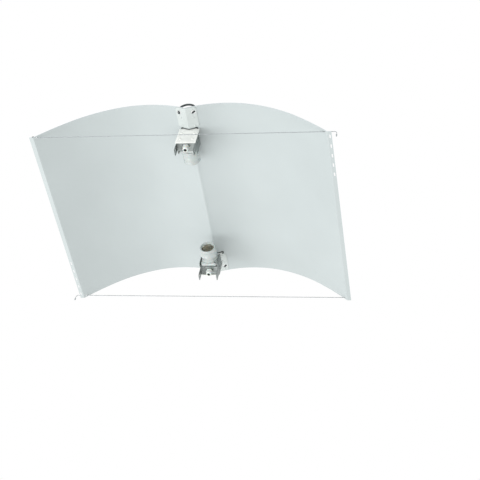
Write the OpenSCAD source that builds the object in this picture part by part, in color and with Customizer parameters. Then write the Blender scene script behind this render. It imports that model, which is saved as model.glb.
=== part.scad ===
// Two-lamp grow light with an adjustable double-wing reflector.
// X runs across the wings, Y along the crease, Z up. The origin is on the crease, half way along it.

/* [Reflector] */
// Length of the sheet along the crease
sheet_l = 700; // [600:10:800]
// Thickness of the reflector sheet
sheet_t = 1; // [0.8:0.1:1.2]
// Upward slope of each half where it leaves the crease, degrees
crease_slope = 20; // [18:0.5:22]
// Bend radius of the inner third of a wing
inner_r = 360; // [340:5:380]
// Bend radius of the middle third of a wing
middle_r = 480; // [450:5:520]
// Bend radius of the outer third of a wing
outer_r = 980; // [900:10:1100]
// Width of the flat edge lip
lip_w = 13; // [11:0.5:15]

/* [Edge slots] */
// Length of one adjusting slot
edge_slot_l = 14; // [12:0.5:16]
// Width of one adjusting slot
edge_slot_w = 4; // [3.5:0.1:4.5]
// Spacing of the adjusting slots
edge_slot_pitch = 36; // [32:1:40]

/* [Hanging and tension] */
// Diameter of the hook wire
hook_wire = 6.5; // [5:0.25:7]
// Radius of the C-shaped hook, to the middle of its wire
hook_r = 27; // [26.5:0.1:27.5]
// Distance of the hook from the end of the sheet
hook_inset = 21; // [18:1:26]
// Diameter of the tension wire
wire_d = 2; // [1.5:0.1:2.4]

/* [Lampholder] */
// Outer diameter of the porcelain body
holder_d = 54; // [52:0.5:56]
// Radius of the lamp hole in the screw shell
socket_r = 19.9; // [19.7:0.05:20.1]
// Distance of the hanger plate from the end of the sheet
plate_inset = 85; // [82:1:95]
// Drop of the near lamp axis below the crease
near_drop = 34; // [34:1:50]
// Drop of the far lamp axis below the crease
far_drop = 72; // [50:1:72]

/* [Hidden] */
$fn = 48;
gap = 0.3;                       // air between pieces of different bodies
arc_inner_l = 230;               // arc lengths of a half, from the crease outwards
arc_middle_l = 150;
arc_outer_l = 128;
hinge_s = 48;                    // arc length from the crease to the bending line
arc_steps = 16;
slot_count = 5;
saddle_t = 1.2;
saddle_l = 76;
saddle_s = 38;                   // arc length from the crease to the saddle plate's edge
saddle_inset = 2;
seat = 0.05;                     // paint film between the sheet and what is riveted under it
rivet_s = 23;                    // arc length from the crease to a row of rivets
rivet_rows = [9, 40, 71];        // distances of the rivets from the end of the sheet
rivet_r = 1.95;
rivet_head_r = 3.6;
rivet_head_h = 1.6;
hook_hole_r = 7;
trim_w = 2.2;                    // width of the edging round the plate's slot
trim_t = 1.4;
trim_s = 40;
relief_r = 3.5;                  // round relief at the ends of the plate's slot
slot_play = 0.6;                 // air round the plate in its slot
plate_t = 1.5;
neck_w = 46;                     // hanger plate where it passes the sheet
wide_w = 66;                     // hanger plate below the sheet
wide_top = 38;                   // height of its shoulders over the lamp axis
plate_top = 100;
plate_low = -35;
box_w = 62;                      // folded bracket
box_l = 34.5;                    // to the face that carries the lampholder
cheek_l = 48;                    // cheeks flank the lampholder's base
box_up = 24;
leg_low = -66;
floor_z = -31.5;
stud_z = 16;                     // clamp stud over the crease
stud_r = 2.5;
highest = 34;                    // lamp axis below the crease at both ends of the plate's travel
lowest = 72;
stud_slot = [stud_z + highest, stud_z + lowest];
wire_y = sheet_l / 2 - 6;
ball_r = 4.5;
sleeve_r = 2.1;
ball_out = 11;                   // fixed ball's distance from the wing
tail_out = 8;                    // free tail's length past the lip before it bends down
tail_bend = 8;
tail_drop = 14;
gland_u = 16;
plate_screw = [20, 14];          // half spacings of the bracket screws, x and z
holder_screw = 22;               // half spacing of the holder screws, x and z
screw_hole_r = 2.2;
screw_r = 2;
base_w = 56;
base_t = 10;
barrel_l = 52;
shell_t = 0.9;
cavity_d = 44;                   // depth of the shell's cavity
mouth_d = 6;                     // depth of the plain mouth in front of the shell
mouth_u = box_l + base_t + barrel_l;
floor_u = mouth_u - mouth_d - cavity_d;
shell_lift = 5;                  // shell's start above the cavity floor

// Turning angle of an arc, and the end and centre of one that starts at p with heading a
function turn(l, r) = l / r * 180 / PI;
function centre(p, a, r) = p + r * [sin(a), -cos(a)];
function arc_end(p, a, r, b) = centre(p, a, r) + r * [-sin(b), cos(b)];

// Points along an arc that starts at p with heading a and ends with heading b, lifted off it
function arc_points(p, a, r, b, first, lift) = [
    for (i = [first:arc_steps])
        let (t = a + (b - a) * i / arc_steps)
            centre(p, a, r) + (r + lift) * [-sin(t), cos(t)]
];
function reversed(v) = [for (i = [len(v) - 1:-1:0]) v[i]];
function mirrored(v) = [for (p = v) [-p[0], p[1]]];

// Section of a layer that follows the sheet across the crease, from lift low to lift high
function crease_face(b, lift) = arc_points(p0, a0, inner_r, b, 1, lift);
function crease_layer(b, low, high) = concat(
    [[0, low / cos(a0)]],
    crease_face(b, low),
    reversed(crease_face(b, high)),
    [[0, high / cos(a0)]],
    mirrored(crease_face(b, high)),
    reversed(mirrored(crease_face(b, low)))
);

// One face of a wing's section, from the bending line to the lip
function wing_face(lift) = concat(
    arc_points(p_hinge_wing, a_hinge - gap_a, inner_r, a1, 0, lift),
    arc_points(p1, a1, middle_r, a2, 1, lift),
    arc_points(p2, a2, outer_r, a3, 1, lift)
);

a0 = crease_slope;
a_hinge = a0 - turn(hinge_s, inner_r);
gap_a = turn(gap / 2, inner_r);  // half the air line at the bending line
a1 = a0 - turn(arc_inner_l, inner_r);
a2 = a1 - turn(arc_middle_l, middle_r);
a3 = a2 - turn(arc_outer_l, outer_r);
p0 = [0, 0];
p_hinge_wing = arc_end(p0, a0, inner_r, a_hinge - gap_a);
p1 = arc_end(p0, a0, inner_r, a1);
p2 = arc_end(p1, a1, middle_r, a2);
p3 = arc_end(p2, a2, outer_r, a3);
a_rivet = a0 - turn(rivet_s, inner_r);
p_rivet = arc_end(p0, a0, inner_r, a_rivet);
hole_above_lip = 7;
wire_z = p3[1] + hole_above_lip;
wire_x = p3[0] - hole_above_lip / tan(-a3);
tail_x = p3[0] + lip_w + tail_out;

ENDS = ["near", "far"];

// ---- helpers ----

// A curved layer across the crease, from y with length l
module layer(b, low, high, y, l) {
    translate([0, y + l, 0])
        rotate([90, 0, 0])
            linear_extrude(l)
                polygon(crease_layer(b, low, high));
}

// Both halves of a thing drawn for the right side
module both_sides() {
    children();
    mirror([1, 0, 0]) children();
}

// Turns a thing drawn for the near end into the one at that end
module at_end(end) {
    if (end == "near") children();
    else rotate([0, 0, 180]) children();
}

// Moves from the frame to a hanger plate's foot on the lamp axis; u runs towards the lamp
module at_plate(end) {
    at_end(end)
        translate([0, plate_inset - sheet_l / 2, end == "near" ? -near_drop : -far_drop])
            children();
}

// A rod along u, from u0 with length l
module rod(r, u0, l, x = 0, z = 0, n = 48) {
    translate([x, u0, z]) rotate([-90, 0, 0]) cylinder(r = r, h = l, $fn = n);
}

// A slab with round corners, standing across u
module slab(w, h, t, r, u0 = 0, z0 = 0) {
    translate([0, u0 + t, z0])
        rotate([90, 0, 0])
            linear_extrude(t)
                rounded(w, h, r);
}

// A rectangle with true round corners
module rounded(w, h, r) {
    square([w - 2 * r, h], center = true);
    square([w, h - 2 * r], center = true);
    for (x = [-1, 1], z = [-1, 1])
        translate([x * (w / 2 - r), z * (h / 2 - r)])
            circle(r = r);
}

// The plan of the slot that the hanger plate passes: a bar with round ends
module slot_plan(grow = 0) {
    square([neck_w + 2 * slot_play, plate_t + 2 * slot_play + 2 * grow], center = true);
    for (x = [-1, 1])
        translate([x * (neck_w / 2 - 1), 0])
            circle(r = relief_r + grow);
}

// The slit in the edging, a running fit for the plate's neck
module slit_cut() {
    translate([0, plate_inset - sheet_l / 2 - plate_t / 2, 0])
        cube([neck_w + 2 * gap, plate_t + 2 * gap, 40], center = true);
}

module slot_cut(grow = 0) {
    translate([0, plate_inset - sheet_l / 2 - plate_t / 2, -10])
        linear_extrude(40)
            slot_plan(grow);
}

// Round holes for a hook's ends
module hook_holes() {
    both_sides()
        translate([hook_r - 4, hook_inset - sheet_l / 2, -10])
            cylinder(r = hook_hole_r, h = 40);
}

// Puts a thing square to the sheet at every rivet
module at_rivets() {
    for (y = rivet_rows)
        both_sides()
            translate([p_rivet[0], y - sheet_l / 2, p_rivet[1]])
                rotate([0, -a_rivet, 0])
                    children();
}

module rivet_holes() {
    at_rivets()
        translate([0, 0, -5])
            cylinder(r = rivet_r + seat, h = 12);
}

function under(x) = x * tan(a0) - x * x / (2 * inner_r * pow(cos(a0), 3));

// ---- reflector ----

module spine_strip() {
    color("#dfe6e4")
        difference() {
            layer(a_hinge + gap_a, 0, sheet_t, -sheet_l / 2, sheet_l);
            for (end = ENDS) at_end(end) {
                slot_cut();
                hook_holes();
                rivet_holes();
            }
        }
}

module wing() {
    difference() {
        rotate([90, 0, 0])
            linear_extrude(sheet_l, center = true)
                polygon(concat(wing_face(0), reversed(wing_face(sheet_t))));
        for (y = [-wire_y, wire_y])
            translate([wire_x - 10, y, wire_z])
                rotate([0, 90, 0])
                    cylinder(r = 2.5, h = 24);
    }
}

module wing_right() color("#dfe6e4") wing();
module wing_left() color("#dfe6e4") rotate([0, 0, 180]) wing();

// The flat outward edge with its row of adjusting slots, drawn for the right side
module edge_lip() {
    difference() {
        translate([p3[0], -sheet_l / 2, p3[1] - sheet_t])
            cube([lip_w, sheet_l, sheet_t]);
        for (i = [0:slot_count - 1])
            translate([p3[0] + lip_w / 2 + 1, 19 - sheet_l / 2 + i * edge_slot_pitch, p3[1] - 5]) {
                for (y = [-1, 1])
                    translate([0, y * (edge_slot_l - edge_slot_w) / 2, 0])
                        cylinder(r = edge_slot_w / 2, h = 10);
                translate([-edge_slot_w / 2, -(edge_slot_l - edge_slot_w) / 2, 0])
                    cube([edge_slot_w, edge_slot_l - edge_slot_w, 10]);
            }
    }
}

module edge_lip_right() color("#cfd6d6") edge_lip();
module edge_lip_left() color("#cfd6d6") rotate([0, 0, 180]) edge_lip();

module saddle_plate(end) {
    color("#eef2f1")
        at_end(end)
            difference() {
                layer(a0 - turn(saddle_s, inner_r), -saddle_t - seat, -seat,
                    saddle_inset - sheet_l / 2, saddle_l);
                hook_holes();
                rivet_holes();
            }
}

// Rivets with a head under the saddle plate and a clenched end over the sheet
module saddle_rivets(end) {
    head_z = -saddle_t - 2 * seat - rivet_head_h;
    top_z = sheet_t + seat;
    color("#c9cdd0")
        at_end(end)
            at_rivets() {
                translate([0, 0, head_z]) cylinder(r = rivet_head_r, h = rivet_head_h);
                translate([0, 0, head_z]) cylinder(r = rivet_r, h = top_z + 1 - head_z);
                translate([0, 0, top_z]) cylinder(r = 3, h = 2);
            }
}

// Rubber edging that fills the plate's slot but for a slit
module slot_trim(end) {
    color("#4b5252")
        at_end(end)
            difference() {
                intersection() {
                    layer(a0 - turn(trim_s, inner_r), -trim_t - seat, -seat,
                        plate_inset - 12 - sheet_l / 2, 24);
                    slot_cut(trim_w);
                }
                slit_cut();
            }
}

// ---- hanging and tension ----

module hanging_hook(end) {
    tip_a = 40;
    color("#4b5252")
        at_end(end)
            translate([0, hook_inset - sheet_l / 2, 20.5])
                rotate([90, 0, 0]) {
                    rotate([0, 0, -tip_a])
                        rotate_extrude(angle = 180 + 2 * tip_a, $fn = 96)
                            translate([hook_r, 0])
                                circle(r = hook_wire / 2, $fn = 24);
                    for (a = [-tip_a, 180 + tip_a])
                        translate([hook_r * cos(a), hook_r * sin(a), 0])
                            sphere(r = hook_wire / 2, $fn = 24);
                }
}

// The wire from its fixed ball to its free tail; near: ball on the left, tail on the right
module tension_wire(end) {
    color("#c8cccd")
        at_end(end)
            translate([0, -wire_y, wire_z]) {
                translate([-wire_x - ball_out + 3, 0, 0]) rotate([0, 90, 0])
                    cylinder(r = wire_d / 2, h = wire_x + ball_out - 3 + tail_x, $fn = 24);
                translate([tail_x, 0, -tail_bend]) rotate([90, 0, 0])
                    rotate_extrude(angle = 90, $fn = 48)
                        translate([tail_bend, 0]) circle(r = wire_d / 2, $fn = 24);
                translate([tail_x + tail_bend, 0, -tail_bend - tail_drop])
                    cylinder(r = wire_d / 2, h = tail_drop, $fn = 24);
            }
}

// The ball that stops the wire outside its wing, with a short sleeve towards the wire
module wire_ball(end) {
    color("#5a6060")
        at_end(end)
            translate([-wire_x - ball_out, -wire_y, wire_z]) rotate([0, 90, 0])
                difference() {
                    union() {
                        sphere(r = ball_r, $fn = 32);
                        cylinder(r = sleeve_r, h = ball_r + 3, $fn = 32);
                    }
                    translate([0, 0, 1]) cylinder(r = wire_d / 2, h = 20, $fn = 24);
                }
}

// The crimped sleeve that keeps the free tail from fraying
module tail_sleeve(end) {
    color("#c8cccd")
        at_end(end)
            translate([tail_x + tail_bend, -wire_y, wire_z - tail_bend - tail_drop - 1])
                difference() {
                    cylinder(r = sleeve_r, h = 8, $fn = 32);
                    translate([0, 0, 1]) cylinder(r = wire_d / 2, h = 20, $fn = 24);
                }
}

// ---- height clamp ----

module clamp_block(end) {
    block_w = 26;
    block_t = 9;
    top_z = 26;
    color("#b9bec0")
        at_end(end)
            difference() {
                translate([0, plate_inset - sheet_l / 2 + gap + block_t, 0])
                    rotate([90, 0, 0])
                        linear_extrude(block_t)
                            polygon([
                                [0, sheet_t / cos(a0) + 0.05],
                                [block_w / 2, under(block_w / 2) + sheet_t / cos(a0) + 0.05],
                                [block_w / 2, top_z - 4],
                                [block_w / 2 - 4, top_z],
                                [4 - block_w / 2, top_z],
                                [-block_w / 2, top_z - 4],
                                [-block_w / 2, under(block_w / 2) + sheet_t / cos(a0) + 0.05]
                            ]);
                translate([0, plate_inset - sheet_l / 2, 0])
                    rod(stud_r, -1, 20, z = stud_z);
            }
}

module clamp_stud(end) {
    color("#9da3a6")
        at_end(end)
            translate([0, plate_inset - sheet_l / 2, 0]) {
                rod(stud_r, -16, 24, z = stud_z);
                rod(7, -plate_t - gap - 1.2, 1.2, z = stud_z);
            }
}

module wing_nut(end) {
    nut_u = -plate_t - 2 * gap - 1.2;
    color("#9da3a6")
        at_end(end)
            translate([0, plate_inset - sheet_l / 2, stud_z])
                difference() {
                    union() {
                        rod(5, nut_u - 6, 6);
                        for (s = [-1, 1])
                            translate([s * 9, nut_u - 5.5, 0])
                                rotate([0, s * 12, 0]) {
                                    rod(5, 0, 2);
                                    translate([-s * 3 - 4, 0, -2.5]) cube([8, 2, 5]);
                                }
                    }
                    rod(stud_r + 0.05, nut_u - 12, 20);
                }
}

// ---- lampholder carriage ----

module hanger_plate(end) {
    color("#f1f4f3")
        at_plate(end)
            difference() {
                rotate([90, 0, 0])
                    linear_extrude(plate_t) {
                        translate([-wide_w / 2, plate_low])
                            square([wide_w, wide_top - plate_low]);
                        translate([-neck_w / 2, wide_top - 1])
                            square([neck_w, plate_top - wide_top - 5]);
                        translate([6 - neck_w / 2, plate_top - 8])
                            square([neck_w - 12, 8]);
                        for (x = [-1, 1])
                            translate([x * (neck_w / 2 - 6), plate_top - 6])
                                circle(r = 6);
                    }
                for (z = stud_slot)
                    rod(stud_r + gap, -5, 10, z = z);
                translate([-stud_r - gap, -5, stud_slot[0]])
                    cube([2 * (stud_r + gap), 10, stud_slot[1] - stud_slot[0]]);
                for (x = [-1, 1] * plate_screw[0], z = [-1, 1] * plate_screw[1])
                    rod(screw_hole_r, -5, 10, x, z);
            }
}

// Folded box: back, floor, front and two cheeks that reach down as legs
module socket_bracket(end) {
    color("#a2a8aa")
        at_plate(end)
            difference() {
                union() {
                    slab(box_w - 0.2, box_up - floor_z, plate_t, 1, 0, (box_up + floor_z) / 2);
                    translate([-box_w / 2, 0, floor_z]) cube([box_w, box_l, plate_t]);
                    slab(box_w - 0.2, base_w / 2 - floor_z, plate_t, 1, box_l - plate_t,
                        (base_w / 2 + floor_z) / 2);
                    for (s = [-1, 1])
                        translate([s * (box_w / 2 - plate_t / 2) - plate_t / 2, 0, 0])
                            cheek();
                }
                for (x = [-1, 1] * plate_screw[0], z = [-1, 1] * plate_screw[1])
                    rod(screw_hole_r, -5, 12, x, z);
                rod(14, box_l - 5, 10);
                for (s = [-1, 1])
                    rod(screw_hole_r, box_l - 5, 10, s * holder_screw, s * holder_screw);
                translate([0, gland_u, floor_z - 5]) cylinder(r = 8, h = 10);
            }
}

// One cheek of the bracket, with its slot and fixing holes
module cheek() {
    difference() {
        rotate([90, 0, 90])
            linear_extrude(plate_t) {
                translate([0, floor_z]) square([cheek_l - 6, box_up - floor_z]);
                translate([cheek_l - 7, floor_z + 6]) square([7, box_up - floor_z - 12]);
                for (z = [floor_z + 6, box_up - 6])
                    translate([cheek_l - 6, z]) circle(r = 6);
                translate([3, leg_low + 5]) square([24, floor_z - leg_low]);
                translate([8, leg_low]) square([14, 10]);
                for (u = [8, 22])
                    translate([u, leg_low + 5]) circle(r = 5);
            }
        for (u = [10, 20])
            translate([-2, u, -52]) rotate([0, 90, 0]) cylinder(r = 2.6, h = 6);
        translate([-2, 10, -54.6]) cube([6, 10, 5.2]);
        for (z = [-10, 12])
            translate([-2, 17, z]) rotate([0, 90, 0]) cylinder(r = 3, h = 6);
    }
}

module bracket_screws(end) {
    color("#8d9395")
        at_plate(end)
            for (x = [-1, 1] * plate_screw[0], z = [-1, 1] * plate_screw[1]) {
                rod(3.6, -plate_t - 2, 2, x, z);
                rod(screw_r, -plate_t, 7, x, z);
                rod(3.8, plate_t, 2.6, x, z, 6);
            }
}

module lampholder(end) {
    color("#e2e6e1")
        at_plate(end)
            difference() {
                union() {
                    slab(base_w, base_w, base_t, 9, box_l);
                    translate([0, box_l + base_t - 1, 0])
                        rotate([-90, 0, 0])
                            rotate_extrude($fn = 96) {
                                square([holder_d / 2 - 3, barrel_l + 1]);
                                square([holder_d / 2, barrel_l - 2]);
                                translate([holder_d / 2 - 3, barrel_l - 2]) circle(r = 3);
                            }
                }
                rod(socket_r + 2.6, mouth_u - mouth_d, mouth_d + 1, n = 96);
                rod(socket_r + shell_t, floor_u, cavity_d + 1, n = 96);
                rod(3, box_l - 1, 30);
                for (s = [-1, 1])
                    rod(screw_hole_r, box_l - 1, base_t + 2, s * holder_screw, s * holder_screw);
            }
}

module screw_shell(end) {
    color("#a09a78")
        at_plate(end)
            translate([0, floor_u + shell_lift, 0])
                rotate([-90, 0, 0])
                    rotate_extrude($fn = 96)
                        translate([socket_r, 0])
                            square([shell_t, cavity_d - shell_lift]);
}

module centre_contact(end) {
    color("#b08d4c")
        at_plate(end) {
            rod(2.9, box_l + 1, floor_u - box_l);
            rod(8, floor_u, 1.2);
            rod(5, floor_u + 1.2, 3);
        }
}

module holder_screws(end) {
    color("#8d9395")
        at_plate(end)
            for (s = [-1, 1]) {
                rod(3.5, box_l + base_t, 2.2, s * holder_screw, s * holder_screw);
                rod(screw_r, box_l - 4, base_t + 4, s * holder_screw, s * holder_screw);
                rod(3.8, box_l - plate_t - 2.8, 2.8, s * holder_screw, s * holder_screw, 6);
            }
}

module terminal_block(end) {
    color("#d9ddd6")
        at_plate(end)
            difference() {
                translate([-15, box_l - plate_t - 15, -7]) cube([30, 15, 14]);
                for (x = [-7.5, 7.5]) {
                    translate([x, box_l - plate_t - 8, 0]) cylinder(r = 2.6, h = 10);
                    rod(2.2, box_l - 22, 11, x, -1);
                }
            }
}

module terminal_screws(end) {
    color("#b08d4c")
        at_plate(end)
            for (x = [-7.5, 7.5])
                translate([x, box_l - plate_t - 8, 0]) {
                    cylinder(r = 1.8, h = 7);
                    translate([0, 0, 5]) cylinder(r = 2.5, h = 3);
                }
}

module cable_gland(end) {
    color("#eaf2ef")
        at_plate(end)
            translate([0, gland_u, floor_z])
                difference() {
                    union() {
                        translate([0, 0, -4]) cylinder(r = 12, h = 4, $fn = 6);
                        cylinder(r = 7.9, h = 9);
                        translate([0, 0, -9]) cylinder(r = 10, h = 5.1);
                        translate([0, 0, -9])
                            rotate_extrude()
                                intersection() {
                                    circle(r = 10);
                                    translate([0, -9]) square([10, 9]);
                                }
                    }
                    translate([0, 0, -30]) cylinder(r = 4, h = 50);
                }
}

module gland_nut(end) {
    color("#eaf2ef")
        at_plate(end)
            translate([0, gland_u, floor_z + plate_t])
                difference() {
                    cylinder(r = 11, h = 4.5, $fn = 6);
                    translate([0, 0, -1]) cylinder(r = 7.9, h = 7);
                }
}

spine_strip();
wing_left();
wing_right();
edge_lip_left();
edge_lip_right();
saddle_plate("near");  // saddle_plate_near
saddle_plate("far");  // saddle_plate_far
saddle_rivets("near");  // saddle_rivets_near
saddle_rivets("far");  // saddle_rivets_far
slot_trim("near");  // slot_trim_near
slot_trim("far");  // slot_trim_far
clamp_block("near");  // clamp_block_near
clamp_block("far");  // clamp_block_far
clamp_stud("near");  // clamp_stud_near
clamp_stud("far");  // clamp_stud_far
wing_nut("near");  // wing_nut_near
wing_nut("far");  // wing_nut_far
hanging_hook("near");  // hanging_hook_near
hanging_hook("far");  // hanging_hook_far
tension_wire("near");  // tension_wire_near
tension_wire("far");  // tension_wire_far
wire_ball("near");  // wire_ball_near
wire_ball("far");  // wire_ball_far
tail_sleeve("near");  // tail_sleeve_near
tail_sleeve("far");  // tail_sleeve_far
hanger_plate("near");  // hanger_plate_near
hanger_plate("far");  // hanger_plate_far
socket_bracket("near");  // socket_bracket_near
socket_bracket("far");  // socket_bracket_far
bracket_screws("near");  // bracket_screws_near
bracket_screws("far");  // bracket_screws_far
lampholder("near");  // lampholder_near
lampholder("far");  // lampholder_far
screw_shell("near");  // screw_shell_near
screw_shell("far");  // screw_shell_far
centre_contact("near");  // centre_contact_near
centre_contact("far");  // centre_contact_far
holder_screws("near");  // holder_screws_near
holder_screws("far");  // holder_screws_far
terminal_block("near");  // terminal_block_near
terminal_block("far");  // terminal_block_far
terminal_screws("near");  // terminal_screws_near
terminal_screws("far");  // terminal_screws_far
cable_gland("near");  // cable_gland_near
cable_gland("far");  // cable_gland_far
gland_nut("near");  // gland_nut_near
gland_nut("far");  // gland_nut_far
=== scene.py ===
import math

import bmesh
import bpy
from mathutils import Matrix, Vector


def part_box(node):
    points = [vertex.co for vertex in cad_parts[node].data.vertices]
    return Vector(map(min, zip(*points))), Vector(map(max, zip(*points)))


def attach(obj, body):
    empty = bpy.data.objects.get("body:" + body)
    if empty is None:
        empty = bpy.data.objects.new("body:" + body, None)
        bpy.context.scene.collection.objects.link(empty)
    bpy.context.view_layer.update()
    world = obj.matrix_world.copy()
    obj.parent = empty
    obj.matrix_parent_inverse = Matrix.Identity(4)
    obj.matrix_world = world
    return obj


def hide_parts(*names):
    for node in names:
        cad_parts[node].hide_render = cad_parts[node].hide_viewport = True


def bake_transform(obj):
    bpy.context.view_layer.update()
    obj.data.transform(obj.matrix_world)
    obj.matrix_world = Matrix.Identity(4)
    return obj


bl_info = {
    "name": "Double-wing grow lamp",
    "version": (1, 0, 0),
    "blender": (4, 5, 0),
    "location": "3D View > Sidebar > Grow Lamp",
    "description": "Makes the finished pieces of a hanging two-lamp grow light around its frame",
    "category": "Object",
}

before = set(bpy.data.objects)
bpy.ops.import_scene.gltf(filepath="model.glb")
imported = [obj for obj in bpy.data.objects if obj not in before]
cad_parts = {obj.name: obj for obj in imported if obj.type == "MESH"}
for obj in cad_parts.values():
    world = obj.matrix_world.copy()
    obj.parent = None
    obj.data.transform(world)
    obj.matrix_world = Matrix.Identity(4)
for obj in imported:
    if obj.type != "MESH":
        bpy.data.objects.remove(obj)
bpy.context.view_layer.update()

ENDS = ("near", "far")
SIDES = {"right": 1, "left": -1}
SHEET_LOW, SHEET_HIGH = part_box("spine_strip")
SHEET_LENGTH = SHEET_HIGH.y - SHEET_LOW.y
LIP_LOW, LIP_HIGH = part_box("edge_lip_right")
WIRE_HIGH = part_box("tension_wire_near")[1]
WIRE_RADIUS = 0.001
STUD_RADIUS = 0.0025
WASHER_THICKNESS = 0.0012
WASHER_GAP = 0.0003
# heights between which a cutter passes right through the sheet
THROUGH_SHEET = (-0.02, 0.04)


# ---- settings that a user would change ----

def length(name, text, value, low=0.0, high=2.0):
    """A size in metres."""
    return bpy.props.FloatProperty(
        name=name, description=text, default=value, min=low, max=high, unit="LENGTH", precision=5
    )


def colour(name, text, hex_value):
    """A display colour, kept as its sRGB hex value."""
    return bpy.props.StringProperty(name=name, description=text, default=hex_value, maxlen=7)


class GrowLampSizes(bpy.types.PropertyGroup):
    """Sizes of the reflector and of what is fitted to it."""

    slope: bpy.props.FloatProperty(
        name="Crease slope", description="Rise of each half where it leaves the crease",
        default=math.radians(20), subtype="ANGLE",
    )
    inner_radius: length("Inner bend", "Bend radius of the inner third of a wing", 0.360)
    inner_arc: length("Inner arc", "Arc length of the inner third", 0.230)
    middle_radius: length("Middle bend", "Bend radius of the middle third", 0.480)
    middle_arc: length("Middle arc", "Arc length of the middle third", 0.150)
    outer_radius: length("Outer bend", "Bend radius of the outer third", 0.980)
    outer_arc: length("Outer arc", "Arc length of the outer third", 0.128)
    thickness: length("Sheet thickness", "Thickness of the aluminium sheet", 0.001)
    fold: length("Fold radius", "Inside radius of the crease and of the lip fold", 0.0025)
    slot_pitch: length("Slot spacing", "Spacing of the adjusting slots in the lips", 0.036)
    slot_length: length("Slot length", "Length of an adjusting slot", 0.014)
    slot_width: length("Slot width", "Width of an adjusting slot", 0.004)
    slot_count: bpy.props.IntProperty(
        name="Slots", description="Adjusting slots in each lip", default=5, min=1, max=12
    )
    hook_hole: length("Hook hole", "Radius of the holes that the hooks pass", 0.007)
    rivet_arc: length("Rivet line", "Distance of the rivets from the crease along the sheet", 0.023)
    rivet_head: length("Rivet head", "Radius of a rivet's head", 0.0036)
    relief: length("Slot relief", "Radius of the round ends of the plate's slot", 0.0035)
    relief_reach: length("Relief distance", "Distance of those round ends from the crease", 0.022)
    slot_bar: length("Plate slot", "Half the width of the plate's slot between its ends", 0.00135)
    hook_reach: length("Hook holes", "Distance of the hooks' holes from the crease", 0.023)
    wire_hole: length("Wire hole", "Radius of the holes that the tension wires pass", 0.0025)
    wire_inset: length("Wire inset", "Distance of a wire's hole from the fold of the lip", 0.0078)
    rope_lay: length("Rope lay", "Length in which a strand of the tension wire goes round once", 0.016)
    thread_pitch: length("Lamp thread", "Pitch of the lamp thread in the screw shell", 0.00635)


class GrowLampColours(bpy.types.PropertyGroup):
    """Colours of the finishes."""

    sheet_inside: colour("Reflector inside", "White powder coat inside the wings", "#B7BFC0")
    saddle: colour("Saddle plates", "Powder coat of the saddle plates and their rivets", "#C4CBCA")
    sheet_outside: colour("Reflector outside", "Coated back of the sheet", "#B8C1C9")
    white_plate: colour("Hanger plates", "Powder coat of the hanger plates", "#F3F5F2")
    zinc: colour("Zinc plate", "Folded brackets", "#8D9392")
    fastener: colour("Fasteners", "Screws, nuts and studs", "#A2A8AA")
    porcelain: colour("Porcelain", "Lampholder bodies", "#B6BEBD")
    shell: colour("Screw shell", "Nickel-washed brass in the lampholders", "#EFEDE4")
    brass: colour("Brass", "Contacts and terminal screws", "#B99653")
    polyamide: colour("Polyamide", "Cable glands", "#DCE2DF")
    black_steel: colour("Black steel", "Hooks and ball ferrules", "#484F4F")
    wire: colour("Wire", "Tension wires", "#A4A9AC")
    rubber: colour("Rubber", "Edge trim of the plate slots", "#303636")
    aluminium: colour("Aluminium", "Clamp blocks and rivets", "#BCC1C3")


class GrowLampStage(bpy.types.PropertyGroup):
    """Camera, light and floor."""

    azimuth: bpy.props.FloatProperty(
        name="Azimuth", description="Camera's way round the lamp", default=math.radians(18.15),
        subtype="ANGLE",
    )
    elevation: bpy.props.FloatProperty(
        name="Elevation", description="Camera's height; below zero it looks up",
        default=math.radians(-46.68), subtype="ANGLE",
    )
    roll: bpy.props.FloatProperty(
        name="Roll", description="Turn of the camera about its own axis",
        default=math.radians(13.31), subtype="ANGLE",
    )
    distance: length("Distance", "Camera to the point it aims at", 3.992, high=20)
    lens: bpy.props.FloatProperty(name="Lens", description="Focal length in mm", default=89.94)
    aim: bpy.props.FloatVectorProperty(
        name="Aim", description="Point that the camera aims at", size=3, subtype="XYZ",
        default=(0.1129, 0.1484, -0.060),
    )
    floor_z: bpy.props.FloatProperty(
        name="Floor", description="Height of the floor under the hanging lamp", default=-3.6,
        unit="LENGTH",
    )
    background: colour("Background", "Even light all round", "#FFFFFF")


def sizes():
    """The lamp's sizes, as the panel's settings hold them."""
    return bpy.context.scene.grow_lamp_sizes


def stage_settings():
    """The camera, light and floor settings."""
    return bpy.context.scene.grow_lamp_stage


# ---- materials ----

def linear(hex_value):
    """An sRGB hex colour as linear RGBA."""
    channels = [int(hex_value[i:i + 2], 16) / 255 for i in (1, 3, 5)]
    return (*[c / 12.92 if c <= 0.04045 else ((c + 0.055) / 1.055) ** 2.4 for c in channels], 1.0)


def shade(hex_value, factor):
    """The same colour, lighter or darker, as linear RGBA."""
    r, g, b, a = linear(hex_value)
    return (min(1.0, r * factor), min(1.0, g * factor), min(1.0, b * factor), a)


def add(tree, kind, links=None, settings=None, **values):
    """Adds a node: settings are its properties, values its sockets, links its inputs' sources."""
    node = tree.nodes.new(kind)
    for key, value in (settings or {}).items():
        setattr(node, key, value)
    for key, value in values.items():
        node.inputs[key.replace("_", " ")].default_value = value
    for key, source in (links or {}).items():
        tree.links.new(source, node.inputs[key])
    return node


def begin(name):
    """A new material with its tree, object coordinates and principled shader."""
    material = bpy.data.materials.new(name)
    material.use_nodes = True
    tree = material.node_tree
    tree.nodes.clear()
    coords = add(tree, "ShaderNodeTexCoord").outputs["Object"]
    shader = add(tree, "ShaderNodeBsdfPrincipled")
    output = add(tree, "ShaderNodeOutputMaterial")
    tree.links.new(shader.outputs["BSDF"], output.inputs["Surface"])
    return material, tree, coords, shader


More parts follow.
